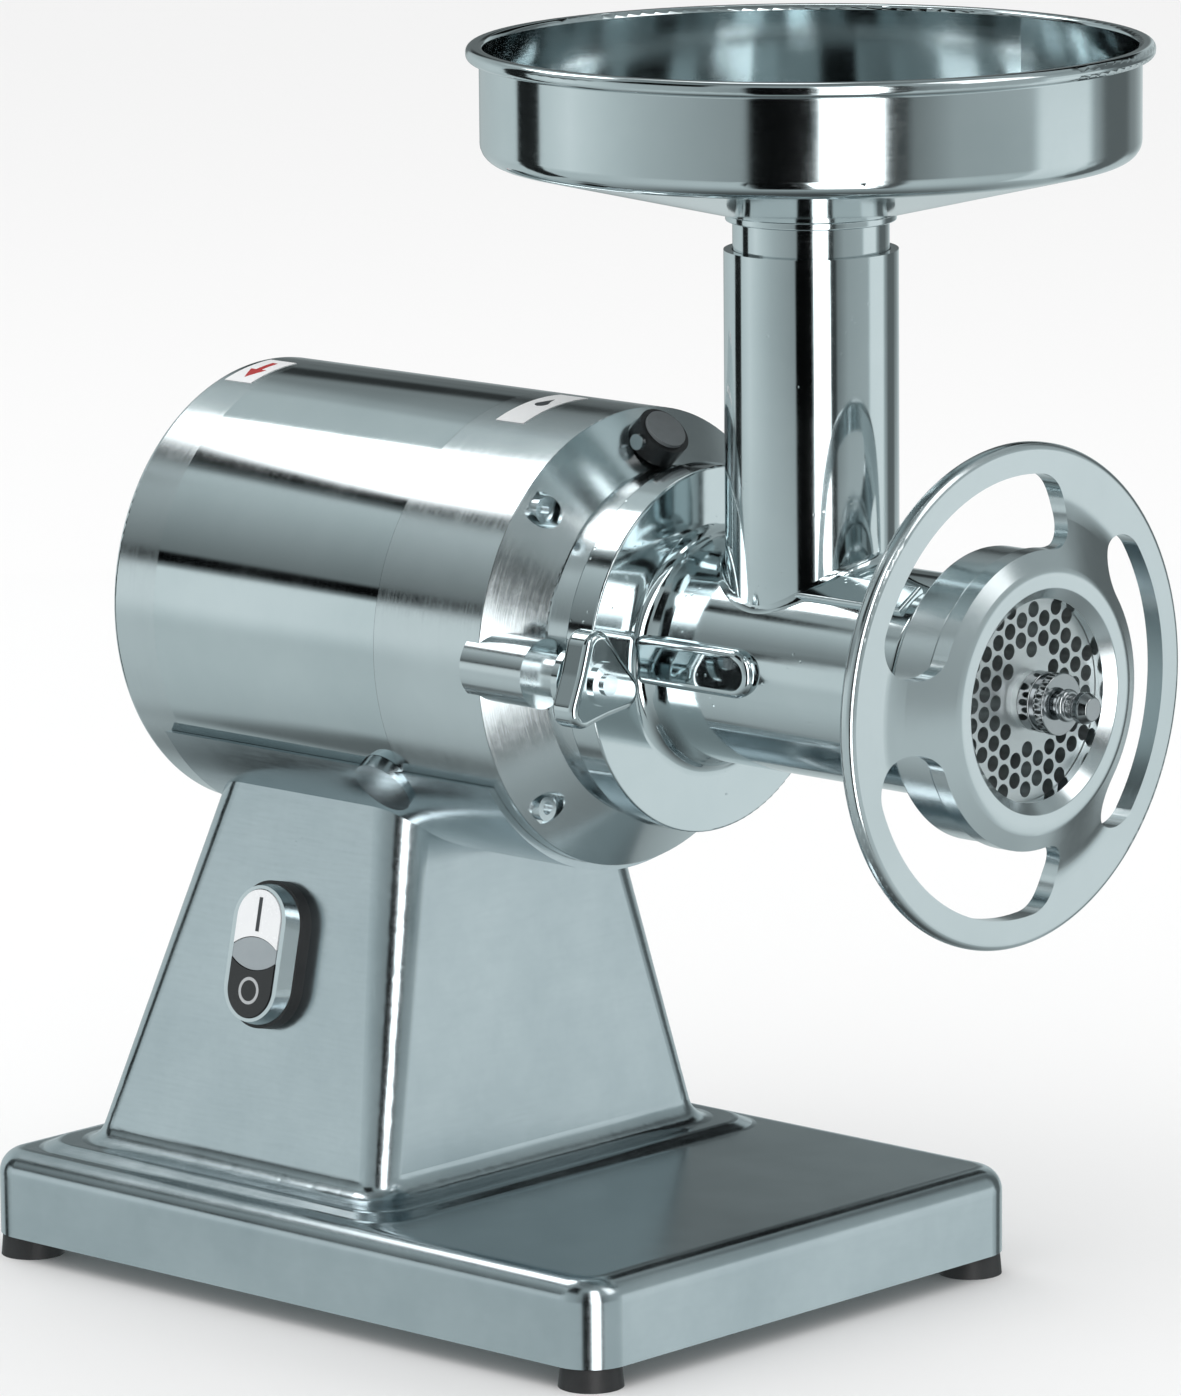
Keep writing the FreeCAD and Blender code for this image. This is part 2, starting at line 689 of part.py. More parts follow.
save("run_capacitor", rod_y(CAPACITOR_R, CAPACITOR_Y, CAPACITOR_Y + CAPACITOR_L, CAPACITOR_X,
                            plate_high + CAPACITOR_R))
contactor = box(CONTACTOR_X, CONTACTOR_X + CONTACTOR_W, CONTACTOR_Y, CONTACTOR_Y + CONTACTOR_L,
                plate_high, plate_high + CONTACTOR_H)
save("contactor", contactor)

# ======== push-button unit ========
gasket = slab(stadium(GASKET_W, GASKET_H), 0, BEZEL_BACK).cut(
    slab(stadium(GASKET_W - 2 * GASKET_WEB, GASKET_H - 2 * GASKET_WEB), -CUT, BEZEL_BACK + CUT))
save("switch_gasket", on_switch_face(gasket))

low_wire = stadium(BEZEL_W, BEZEL_H)
low_wire.translate(V(0, 0, BEZEL_BACK))
high_wire = stadium(BEZEL_TOP_W, BEZEL_TOP_H)
high_wire.translate(V(0, 0, BEZEL_FRONT))
bezel = Part.makeLoft([low_wire, high_wire], True, True).cut(
    slab(stadium(BUTTON_W + 2 * RUN, BUTTON_H + 2 * RUN), BEZEL_BACK - CUT, BEZEL_FRONT + CUT))
save("switch_bezel", on_switch_face(bezel))

lens_offset = LENS_ARC_R - LENS_HALF
outer_edge = slab(stadium(BUTTON_W, BUTTON_H), 0, BUTTON_FRONT)


def lens_solid(grow, low, high):
    radius = LENS_ARC_R + grow
    upper = Part.makeCylinder(radius, high - low, V(0, -lens_offset, low))
    return upper.common(Part.makeCylinder(radius, high - low, V(0, lens_offset, low)))


lens = lens_solid(0, SWITCH_FLOOR, LENS_FRONT).common(outer_edge)
save("switch_lens", on_switch_face(lens))

button_back = BUTTON_FRONT - BUTTON_T
buttons = slab(stadium(BUTTON_W, BUTTON_H), button_back, BUTTON_FRONT)
buttons = buttons.cut(lens_solid(RUN, button_back - CUT, BUTTON_FRONT + CUT))
divider = BUTTON_W
upper_half = Part.makeBox(2 * divider, BUTTON_H, 2 * BUTTON_FRONT, V(-divider, RUN / 2, 0))
lower_half = Part.makeBox(2 * divider, BUTTON_H, 2 * BUTTON_FRONT, V(-divider, -BUTTON_H - RUN / 2, 0))
start_button = buttons.common(upper_half)
stop_button = buttons.common(lower_half)
save("start_button", on_switch_face(start_button))
save("stop_button", on_switch_face(stop_button))
bar = Part.makeBox(MARK_I_W, MARK_I_H, MARK_T, V(-MARK_I_W / 2, MARK_I_V - MARK_I_H / 2, BUTTON_FRONT))
save("start_mark", on_switch_face(bar))
loop = Part.makeCylinder(MARK_O_R, MARK_T, V(0, MARK_O_V, BUTTON_FRONT)).cut(
    Part.makeCylinder(MARK_O_R - MARK_O_WALL, MARK_T, V(0, MARK_O_V, BUTTON_FRONT)))
save("stop_mark", on_switch_face(loop))

inner_w = GASKET_W - 2 * GASKET_WEB - 2 * SEAT
inner_h = GASKET_H - 2 * GASKET_WEB - 2 * SEAT
block_top = -COLUMN_WALL - NUT_T
contact = slab(stadium(inner_w, inner_h), 0, SWITCH_FLOOR)
contact = contact.fuse(Part.makeCylinder(SWITCH_HOLE_R - SEAT, -block_top, V(0, 0, block_top)))
contact = contact.fuse(Part.makeBox(BLOCK_W, BLOCK_H, BLOCK_DEPTH,
                                    V(-BLOCK_W / 2, -BLOCK_H / 2, block_top - BLOCK_DEPTH)))
save("contact_block", on_switch_face(contact.removeSplitter()))
nut = Part.makeCylinder(NUT_R, NUT_T - SEAT, V(0, 0, block_top + SEAT)).cut(
    Part.makeCylinder(SWITCH_HOLE_R, NUT_T + CUT, V(0, 0, block_top)))
save("switch_nut", on_switch_face(nut))

# ======== motor ========
drum_bore = DRUM_R - DRUM_WALL
drum = ring_y(DRUM_R, drum_bore, DRUM_FRONT_Y, DRUM_REAR_Y)
inner_drum = rod_y(DRUM_R - DRUM_WALL / 2, DRUM_FRONT_Y, DRUM_REAR_Y)
lugs = []
for i in range(4):
    lx, lz = polar(REAR_SCREW_PCR, QUARTER / 2 + QUARTER * i)
    lug = rod_y(REAR_LUG_R, DRUM_REAR_Y - REAR_LUG_L, DRUM_REAR_Y, lx, AXIS_Z + lz)
    spoke = box(0, DRUM_R, DRUM_REAR_Y - REAR_LUG_L, DRUM_REAR_Y, -REAR_LUG_R, REAR_LUG_R)
    spoke = spoke.cut(box(-CUT, REAR_SCREW_PCR, DRUM_FRONT_Y, REAR_FACE_Y, -AXIS_Z, AXIS_Z))
    spoke.translate(V(0, 0, AXIS_Z))
    spoke.rotate(V(0, 0, AXIS_Z), Y_AXIS, -(QUARTER / 2 + QUARTER * i))
    lugs.append(lug.fuse(spoke).common(inner_drum))
for side in (-1, 1):
    for y in MOTOR_BOLT_YS:
        lugs.append(rod_z(MOTOR_BOSS_R, AXIS_Z - DRUM_R, MOTOR_BOSS_TOP_Z, side * MOTOR_BOLT_X, y)
                    .common(inner_drum))
drum = union(drum, lugs)
for i in range(4):
    lx, lz = polar(REAR_SCREW_PCR, QUARTER / 2 + QUARTER * i)
    drum = drum.cut(rod_y(REAR_SCREW_R + SEAT, DRUM_REAR_Y - REAR_LUG_L + CUT, DRUM_REAR_Y + CUT,
                          lx, AXIS_Z + lz))
for side in (-1, 1):
    for y in MOTOR_BOLT_YS:
        drum = drum.cut(rod_z(MOTOR_BOLT_R + SEAT, AXIS_Z - DRUM_R - CUT, MOTOR_THREAD_TOP_Z,
                              side * MOTOR_BOLT_X, y))
save("motor_drum", drum)

motor_bolts = []
for side in (-1, 1):
    for y in MOTOR_BOLT_YS:
        x = side * MOTOR_BOLT_X
        head = rod_z(MOTOR_BOLT_HEAD_R, COLUMN_ROOF_Z - MOTOR_BOLT_HEAD_H, COLUMN_ROOF_Z, x, y)
        stem = rod_z(MOTOR_BOLT_R, COLUMN_ROOF_Z, MOTOR_THREAD_TOP_Z - CUT, x, y)
        motor_bolts.append(head.fuse(stem).removeSplitter())
save("motor_bolts", *motor_bolts)

rear_bore_floor = REAR_BEARING_Y + BEARING_W + CUT
rear_cover = turned([
    (0, REAR_FACE_Y, 0), (DRUM_R, REAR_FACE_Y, REAR_EDGE_R), (DRUM_R, DRUM_REAR_Y, 0),
    (DRUM_R - REAR_WALL, DRUM_REAR_Y, 0), (DRUM_R - REAR_WALL, REAR_FACE_Y - REAR_FLOOR, 0),
    (REAR_HUB_R, REAR_FACE_Y - REAR_FLOOR, 0), (REAR_HUB_R, REAR_BEARING_Y, 0),
    (REAR_BEARING_R + SEAT, REAR_BEARING_Y, 0), (REAR_BEARING_R + SEAT, rear_bore_floor, 0),
    (SHAFT_R + RUN, rear_bore_floor, 0), (SHAFT_R + RUN, REAR_FACE_Y - REAR_FLOOR, 0),
    (0, REAR_FACE_Y - REAR_FLOOR, 0)])
rear_screws = []
seat_y = REAR_FACE_Y - REAR_SCREW_HEAD_H
for i in range(4):
    lx, lz = polar(REAR_SCREW_PCR, QUARTER / 2 + QUARTER * i)
    z = AXIS_Z + lz
    tube = rod_y(REAR_LUG_R, DRUM_REAR_Y, REAR_FACE_Y - REAR_FLOOR + CUT, lx, z)
    rear_cover = rear_cover.fuse(tube)
    rear_cover = rear_cover.cut(rod_y(REAR_SCREW_R + SEAT, DRUM_REAR_Y - CUT, REAR_FACE_Y, lx, z))
    rear_cover = rear_cover.cut(rod_y(REAR_SCREW_HEAD_R + RUN, seat_y, REAR_FACE_Y + CUT, lx, z))
    head = rod_y(REAR_SCREW_HEAD_R, seat_y, REAR_FACE_Y - SEAT, lx, z)
    socket = rod_y(REAR_SCREW_R, REAR_FACE_Y - REAR_SCREW_HEAD_H / 2, REAR_FACE_Y, lx, z)
    stem = rod_y(REAR_SCREW_R, seat_y - REAR_SCREW_L, seat_y, lx, z)
    rear_screws.append(head.fuse(stem).cut(socket).removeSplitter())
save("rear_cover", rear_cover.removeSplitter())
save("rear_cover_screws", *rear_screws)

shield_y = DRUM_FRONT_Y + SEAT
shield = rod_y(drum_bore - SEAT, shield_y, shield_y + SHIELD_T)
shield = shield.cut(rod_y(FRONT_BEARING_R + SEAT, shield_y - CUT, shield_y + BEARING_W))
shield = shield.cut(rod_y(SHAFT_R + RUN, shield_y, shield_y + SHIELD_T + CUT))
shield = shield.cut(rod_y(LAY_BEARING_R + SEAT, shield_y - CUT, shield_y + BEARING_W,
                          0, AXIS_Z + CENTRES))
for i in range(CASE_SCREW_COUNT):
    sx, sz = polar(CASE_SCREW_PCR, QUARTER / 2 + FULL * i / CASE_SCREW_COUNT)
    shield = shield.cut(rod_y(CASE_SCREW_R + SEAT, shield_y - CUT, shield_y + SHIELD_T + CUT,
                              sx, AXIS_Z + sz))
save("end_shield", shield)

save("stator_core", ring_y(drum_bore - SEAT, STATOR_BORE_R, STATOR_Y0, STATOR_Y1))
save("stator_windings",
     ring_y(WINDING_OUT_R, WINDING_IN_R, STATOR_Y0 - WINDING_L, STATOR_Y0),
     ring_y(WINDING_OUT_R, WINDING_IN_R, STATOR_Y1, STATOR_Y1 + WINDING_L))
save("motor_bearings",
     ring_y(FRONT_BEARING_R, SHAFT_R + JOURNAL, shield_y, shield_y + BEARING_W - SEAT),
     ring_y(REAR_BEARING_R, SHAFT_R + JOURNAL, REAR_BEARING_Y, REAR_BEARING_Y + BEARING_W))
save("rotor_core", ring_y(ROTOR_R, SHAFT_R + JOURNAL, STATOR_Y0, STATOR_Y1))
shaft_rear = REAR_BEARING_Y + BEARING_W
motor_shaft = rod_y(SHAFT_R, shield_y, shaft_rear).fuse(rod_y(SHAFT_NOSE_R, SHAFT_FRONT_Y, shield_y))
save("motor_shaft", motor_shaft.removeSplitter())

# ======== gear train ========
module_1 = 2 * CENTRES / (PINION_TEETH + LAY_GEAR_TEETH)
module_2 = 2 * CENTRES / (LAY_PINION_TEETH + OUTPUT_TEETH)
lay_z = AXIS_Z + CENTRES
up = QUARTER
down = -QUARTER
save("motor_pinion", gear(module_1, PINION_TEETH, STAGE1_W, SHAFT_NOSE_R, STAGE1_Y, 0, AXIS_Z,
                          up + FULL / PINION_TEETH / 2))
save("lay_gear", gear(module_1, LAY_GEAR_TEETH, STAGE1_W, LAY_SHAFT_R, STAGE1_Y, 0, lay_z, down))
save("lay_pinion", gear(module_2, LAY_PINION_TEETH, STAGE2_W, LAY_SHAFT_R, STAGE2_Y, 0, lay_z,
                        down + FULL / LAY_PINION_TEETH / 2))
save("output_gear", gear(module_2, OUTPUT_TEETH, STAGE2_W, OUT_SHAFT_R, STAGE2_Y, 0, AXIS_Z, up))
save("layshaft", rod_y(LAY_SHAFT_R, LAY_FRONT_Y + SEAT, shield_y + BEARING_W - SEAT, 0, lay_z))
save("layshaft_bearings",
     ring_y(LAY_BEARING_R, LAY_SHAFT_R + JOURNAL, LAY_FRONT_Y, LAY_FRONT_Y + BEARING_W - 2 * SEAT, 0, lay_z),
     ring_y(LAY_BEARING_R, LAY_SHAFT_R + JOURNAL, shield_y, shield_y + BEARING_W - 2 * SEAT, 0, lay_z))

socket_y = NOSE_Y + SOCKET_DEPTH
tang_hole = SQUARE / 2 + RUN / 2
out_shaft = rod_y(OUT_SHAFT_R, socket_y + RUN, OUT_SHAFT_Y1)
out_shaft = out_shaft.cut(box(-tang_hole, tang_hole, socket_y, socket_y + TANG_LENGTH + CUT,
                              AXIS_Z - tang_hole, AXIS_Z + tang_hole))
save("output_shaft", out_shaft)
save("output_bearing", ring_y(OUT_BEARING_R, OUT_SHAFT_R + JOURNAL, OUT_BEARING_Y,
                              OUT_BEARING_Y + OUT_BEARING_W))
save("shaft_seal", ring_y(SEAL_R, OUT_SHAFT_R + JOURNAL, socket_y + SEAT, socket_y + SEAL_W))

# ======== gear case ========
case = turned([
    (CASE_BORE_R, DRUM_FRONT_Y - SEAT, 0), (DRUM_R, DRUM_FRONT_Y - SEAT, 0), (DRUM_R, CASE_EDGE_Y, 0.4),
    (CONE_FOOT_R, CONE_FOOT_Y, 1.2), (NOSE_R, NOSE_Y, 1.0),
    (SOCKET_R, NOSE_Y, 0), (SOCKET_R, socket_y, 0),
    (SEAL_R + SEAT, socket_y, 0), (SEAL_R + SEAT, OUT_BEARING_Y, 0),
    (OUT_BEARING_R + SEAT, OUT_BEARING_Y, 0), (OUT_BEARING_R + SEAT, OUT_BEARING_Y + OUT_BEARING_W, 0),
    (OUT_BEARING_R + CASE_HUB_WALL, OUT_BEARING_Y + OUT_BEARING_W, 0),
    (OUT_BEARING_R + CASE_HUB_WALL, CASE_FLOOR_Y, 0),
    (CONE_FOOT_R, CASE_FLOOR_Y, 0), (CASE_BORE_R, CASE_EDGE_Y + CUT, 0)])
boss = rod_y(BOSS_R, BOSS_FRONT_Y, CASE_EDGE_Y + COLUMN_WALL, KNOB_X, AXIS_Z)
case = case.fuse(boss).cut(rod_y(CASE_BORE_R, CASE_EDGE_Y + CUT, DRUM_FRONT_Y))
case = case.cut(rod_y(FLANGE_R + SEAT, FLANGE_FRONT_Y, NOSE_Y))
case = case.cut(rod_y(LAY_BEARING_R + SEAT, LAY_FRONT_Y, CASE_FLOOR_Y + CUT, 0, lay_z))
case = case.cut(rod_y(STUD_R + SEAT, BOSS_FRONT_Y - CUT, BOSS_FRONT_Y + STUD_ROOT, KNOB_X, AXIS_Z))
case_screws = []
for i in range(CASE_SCREW_COUNT):
    sx, sz = polar(CASE_SCREW_PCR, QUARTER / 2 + FULL * i / CASE_SCREW_COUNT)
    z = AXIS_Z + sz
    case = case.cut(rod_y(CASE_SCREW_R + SEAT, NOSE_Y, DRUM_FRONT_Y + CUT, sx, z))
    case = case.cut(rod_y(CASE_POCKET_R, NOSE_Y, CASE_POCKET_Y, sx, z))
    head = rod_y(CASE_SCREW_HEAD_R, CASE_POCKET_Y - CASE_SCREW_HEAD_H, CASE_POCKET_Y, sx, z)
    head = head.cut(rod_y(CASE_SCREW_R * 0.8, CASE_POCKET_Y - CASE_SCREW_HEAD_H - CUT,
                          CASE_POCKET_Y - CASE_SCREW_HEAD_H / 2, sx, z))
    stem = rod_y(CASE_SCREW_R, CASE_POCKET_Y, shield_y + SHIELD_T - CUT, sx, z)
    case_screws.append(head.fuse(stem).removeSplitter())

cone_rise = (DRUM_R - CONE_FOOT_R) / (CASE_EDGE_Y - CONE_FOOT_Y)
oil_foot = V(0, OIL_Y, AXIS_Z + CONE_FOOT_R + (OIL_Y - CONE_FOOT_Y) * cone_rise)
oil_dir = V(0, -math.sin(math.radians(OIL_TILT)), math.cos(math.radians(OIL_TILT)))
case = case.cut(Part.makeCylinder(OIL_BODY_R + OIL_POCKET_GAP, OIL_BODY_H * 2, oil_foot, oil_dir))
case = case.cut(Part.makeCylinder(OIL_STEM_R + SEAT, OIL_STEM_L + 3 * CUT,
                                  oil_foot - oil_dir * (OIL_STEM_L + 2 * CUT), oil_dir))
save("gear_case", case.removeSplitter())
save("gear_case_screws", *case_screws)

oil_body = Part.makeCylinder(OIL_BODY_R, OIL_BODY_H, oil_foot, oil_dir)
oil_top = oil_foot + oil_dir * OIL_BODY_H
oil_body = oil_body.fuse(Part.makeCylinder(OIL_STEM_R, OIL_STEM_L, oil_foot - oil_dir * OIL_STEM_L,
                                           oil_dir)).removeSplitter()
screw_mid = oil_foot + oil_dir * (OIL_BODY_H / 2)
screw_way = Part.makeCylinder(OIL_SCREW_R * 0.5 + SEAT, OIL_BODY_R, screw_mid, X_AXIS * -1)
oil_body = oil_body.cut(screw_way)
save("oil_plug_body", oil_body)
save("oil_plug_cap", Part.makeCylinder(OIL_CAP_R, OIL_CAP_H, oil_top, oil_dir))
screw_out = screw_mid + V(-OIL_BODY_R, 0, 0)
side_screw = Part.makeCylinder(OIL_SCREW_R * 0.5, OIL_BODY_R / 2, screw_mid + V(-OIL_BODY_R / 2, 0, 0),
                               X_AXIS * -1)
side_screw = side_screw.fuse(Part.makeCylinder(OIL_SCREW_R, OIL_SCREW_H, screw_out, X_AXIS * -1))
save("oil_plug_screw", side_screw.removeSplitter())


def label(y_from, y_to, deg_from, deg_to):
    face = Part.Face(Part.makePolygon([V(DRUM_R + SEAT / 2, y_from, 0), V(DRUM_R + LABEL_T, y_from, 0),
                                       V(DRUM_R + LABEL_T, y_to, 0), V(DRUM_R + SEAT / 2, y_to, 0),
                                       V(DRUM_R + SEAT / 2, y_from, 0)]))
    solid = face.revolve(V(0, 0, 0), Y_AXIS, -(deg_to - deg_from))
    solid.rotate(V(0, 0, 0), Y_AXIS, -deg_from)
    solid.translate(V(0, 0, AXIS_Z))
    return solid


save("direction_label", label(ARROW_LABEL_Y0, ARROW_LABEL_Y1, ARROW_LABEL_DEG0, ARROW_LABEL_DEG1))
save("oil_label", label(OIL_LABEL_Y0, OIL_LABEL_Y1, OIL_LABEL_DEG0, OIL_LABEL_DEG1))

# ======== clamp ========
knob_back = FLANGE_FRONT_Y - RUN
knob_front = knob_back - KNOB_T
save("clamp_stud", rod_y(STUD_R, knob_front - KNOB_BOSS_H - STUD_OUT, BOSS_FRONT_Y + STUD_ROOT - SEAT,
                         KNOB_X, AXIS_Z))
save("clamp_spacer", ring_y(SPACER_R, STUD_R + SEAT, FLANGE_FRONT_Y, BOSS_FRONT_Y, KNOB_X, AXIS_Z))
star_corners = []
for i in range(KNOB_LOBES):
    tip = polar(KNOB_R, KNOB_TURN + FULL * i / KNOB_LOBES)
    dip = polar(KNOB_VALLEY_R, KNOB_TURN + FULL * (i + 0.5) / KNOB_LOBES)
    star_corners.append((tip[0], tip[1], KNOB_LOBE_ROUND))
    star_corners.append((dip[0], dip[1], KNOB_VALLEY_ROUND))
star = slab(outline(star_corners), 0, KNOB_T - KNOB_FLANGE_T)
star_rims = [e for e in star.Edges if abs(e.BoundBox.ZMax - e.BoundBox.ZMin) < SEAT]
star = star.makeFillet(KNOB_EDGE, star_rims)
star.rotate(V(0, 0, 0), X_AXIS, QUARTER)
star.translate(V(KNOB_X, knob_back - KNOB_FLANGE_T, AXIS_Z))
knob = star.fuse(rod_y(KNOB_FLANGE_R, knob_back - KNOB_FLANGE_T, knob_back, KNOB_X, AXIS_Z))
knob = knob.fuse(rod_y(KNOB_BOSS_R, knob_front - KNOB_BOSS_H, knob_front, KNOB_X, AXIS_Z))
knob = knob.cut(rod_y(STUD_R + JOURNAL, knob_front - 3 * CUT, knob_back + CUT, KNOB_X, AXIS_Z))
save("clamp_knob", knob.removeSplitter())

# ======== head casting ========
tail_front = NOSE_Y - SEAT
head_body = turned([
    (0, tail_front + TAIL_LENGTH, 0), (TAIL_R, tail_front + TAIL_LENGTH, 0), (TAIL_R, tail_front, 0),
    (FLANGE_R, tail_front, 0.8), (FLANGE_R, FLANGE_FRONT_Y, 0.8),
    (ROOT_R, FLANGE_FRONT_Y, 6.0), (BARREL_R, FLANGE_FRONT_Y - ROOT_LENGTH, 20.0),
    (BARREL_R, COLLAR_BACK_Y + COLLAR_RAMP, 6.0), (COLLAR_R, COLLAR_BACK_Y, 2.0),
    (COLLAR_R, BARREL_FRONT_Y, 0.8), (0, BARREL_FRONT_Y, 0)])
neck = rod_z(NECK_R, AXIS_Z, NECK_TOP_Z)
head_body = head_body.fuse(neck)
joint_edges = []
for e in head_body.Edges:
    b = e.BoundBox
    above = b.ZMin > AXIS_Z and b.ZMax < AXIS_Z + BARREL_R + CUT
    if above and b.XLength > NECK_R and b.YLength > NECK_R:
        joint_edges.append(e)
head_body = head_body.makeFillet(NECK_FILLET, joint_edges)

lug_x = math.sqrt(BARREL_R ** 2 - LUG_HALF ** 2) + LUG_PROUD
lug = box(-lug_x, -BARREL_BORE_R, LUG_Y0 + LUG_HALF, LUG_Y1, AXIS_Z + LUG_DZ - LUG_HALF,
          AXIS_Z + LUG_DZ + LUG_HALF)
lug = lug.fuse(Part.makeCylinder(LUG_HALF, lug_x - BARREL_BORE_R,
                                 V(-lug_x, LUG_Y0 + LUG_HALF, AXIS_Z + LUG_DZ), X_AXIS)).removeSplitter()
lug_rims = [e for e in lug.Edges if abs(e.BoundBox.XMin + lug_x) < SEAT and e.BoundBox.XLength < SEAT
            and e.BoundBox.YMax < LUG_Y1 - SEAT or abs(e.BoundBox.XMin + lug_x) < SEAT
            and e.BoundBox.XLength < SEAT and e.BoundBox.YLength > LUG_HALF]
lug = lug.makeFillet(LUG_PROUD * 0.6, lug_rims)
pad_bar = box(-PAD_HALF, PAD_HALF, PAD_Y0, PAD_Y1, BARREL_BORE_R + CUT, BARREL_R + PAD_PROUD)
pad_rims = [e for e in pad_bar.Edges if e.BoundBox.ZMin > BARREL_R]
pad_bar = pad_bar.makeFillet(PAD_PROUD * 0.8, pad_rims)
pad_bar.translate(V(0, 0, AXIS_Z))
pad_bar.rotate(V(0, 0, AXIS_Z), Y_AXIS, QUARTER - PAD_ANGLE)
head_body = head_body.fuse(lug).fuse(pad_bar)

plate_back = PLATE_FACE_Y + PLATE_T
head_body = head_body.cut(rod_y(BARREL_BORE_R, BARREL_FRONT_Y - CUT, BARREL_BACK_Y))
head_body = head_body.cut(rod_y(PLATE_R + SEAT, BARREL_FRONT_Y - CUT, plate_back + KNIFE_T + 2 * RUN))
head_body = head_body.cut(rod_y(JOURNAL_R + JOURNAL, BARREL_BACK_Y - CUT, tail_front + TAIL_LENGTH + CUT))
head_body = head_body.cut(rod_z(NECK_BORE_R, AXIS_Z, NECK_TOP_Z + CUT))
key_z = AXIS_Z - PLATE_R - KEY_R + KEY_R / 2
head_body = head_body.cut(rod_y(KEY_R + SEAT, BARREL_FRONT_Y - CUT, BARREL_FRONT_Y + KEY_LENGTH, 0, key_z))
save("head_casting", head_body.removeSplitter())
save("plate_key", rod_y(KEY_R, BARREL_FRONT_Y, BARREL_FRONT_Y + KEY_LENGTH - SEAT, 0, key_z))

# ======== mouth plate, knife, auger, front pin ========
mouth = rod_y(PLATE_R, PLATE_FACE_Y, plate_back)
mouth = mouth.fuse(rod_y(PLATE_BOSS_R, PLATE_FACE_Y - PLATE_BOSS_H, PLATE_FACE_Y))
mouth = mouth.cut(rod_y(PLATE_BORE_R, PLATE_FACE_Y - PLATE_BOSS_H - CUT, plate_back + CUT))
mouth = mouth.cut(rod_y(KEY_R + SEAT, PLATE_FACE_Y - CUT, plate_back + CUT, 0, key_z))
drills = []
row = PLATE_PITCH * math.sqrt(3) / 2
span = int(PLATE_R / row) + 1
turn = math.radians(PLATE_TURN)
for column_no in range(-span, span + 1):
    for line_no in range(-span, span + 1):
        a = column_no * row
        b = (line_no + 0.5 * (column_no % 2) + 0.5) * PLATE_PITCH
        x = a * math.cos(turn) - b * math.sin(turn)
        z = a * math.sin(turn) + b * math.cos(turn)
        reach = math.hypot(x, z)
        if PLATE_HUB_R + PLATE_HOLE_R < reach < PLATE_FIELD_R:
            drills.append(rod_y(PLATE_HOLE_R, PLATE_FACE_Y - CUT, plate_back + CUT, x, AXIS_Z + z))
mouth = mouth.cut(Part.makeCompound(drills)).removeSplitter()
save("mouth_plate", mouth)

knife_front = plate_back + RUN
knife_back = knife_front + KNIFE_T
knife = rod_y(KNIFE_HUB_R, knife_front, knife_back)
for i in range(KNIFE_BLADES):
    reach = KNIFE_R
    points = [V(0, 0, 0), V(0, 0, KNIFE_T), V(0, KNIFE_BLADE_W, KNIFE_T * 0.4), V(0, KNIFE_BLADE_W, 0)]
    points.append(points[0])
    blade = Part.Face(Part.makePolygon(points)).extrude(V(reach, 0, 0))
    blade.translate(V(0, -KNIFE_BLADE_W / 2, 0))
    blade.rotate(V(0, 0, 0), X_AXIS, -QUARTER)
    blade.translate(V(0, knife_front, 0))
    blade.rotate(V(0, 0, 0), Y_AXIS, FULL * i / KNIFE_BLADES)
    blade.translate(V(0, 0, AXIS_Z))
    knife = knife.fuse(blade)
knife = knife.common(rod_y(KNIFE_R, knife_front, knife_back))
knife_hole = SQUARE / 2 + SEAT
knife = knife.cut(box(-knife_hole, knife_hole, knife_front - CUT, knife_back + CUT,
                      AXIS_Z - knife_hole, AXIS_Z + knife_hole))
save("knife", knife.removeSplitter())

auger_front = knife_back + RUN
flight_len = AUGER_PITCH * AUGER_TURNS
flight_start = auger_front + AUGER_FLIGHT_T / 2
helix = Part.makeHelix(AUGER_PITCH, flight_len, AUGER_R)
corner_a = V(AUGER_CORE_R - CUT, 0, -AUGER_FLIGHT_T / 2)
corner_b = V(AUGER_R, 0, -AUGER_FLIGHT_T / 2 + CUT)
corner_c = V(AUGER_R, 0, AUGER_FLIGHT_T / 2 - CUT)
corner_d = V(AUGER_CORE_R - CUT, 0, AUGER_FLIGHT_T / 2)
section = Part.makePolygon([corner_a, corner_b, corner_c, corner_d, corner_a])
flight = Part.Wire(helix.Edges).makePipeShell([section], True, True)
flight = Part.Solid(flight) if flight.ShapeType != "Solid" else flight
flight.rotate(V(0, 0, 0), X_AXIS, -QUARTER)
flight.translate(V(0, flight_start, AXIS_Z))
screw = rod_y(AUGER_CORE_R, auger_front, AUGER_BACK_Y)
screw = screw.fuse(rod_y(JOURNAL_R, AUGER_BACK_Y, tail_front + TAIL_LENGTH))
square_half = SQUARE / 2
screw = screw.fuse(box(-square_half, square_half, tail_front + TAIL_LENGTH,
                       tail_front + TAIL_LENGTH + TANG_LENGTH,
                       AXIS_Z - square_half, AXIS_Z + square_half))
screw = screw.fuse(box(-square_half, square_half, knife_front + SEAT, auger_front,
                       AXIS_Z - square_half, AXIS_Z + square_half))
screw = screw.fuse(flight)
screw = screw.cut(rod_y(CASE_SCREW_R + SEAT, knife_front - CUT, auger_front + KNIFE_T * 2))
save("auger", screw.removeSplitter())

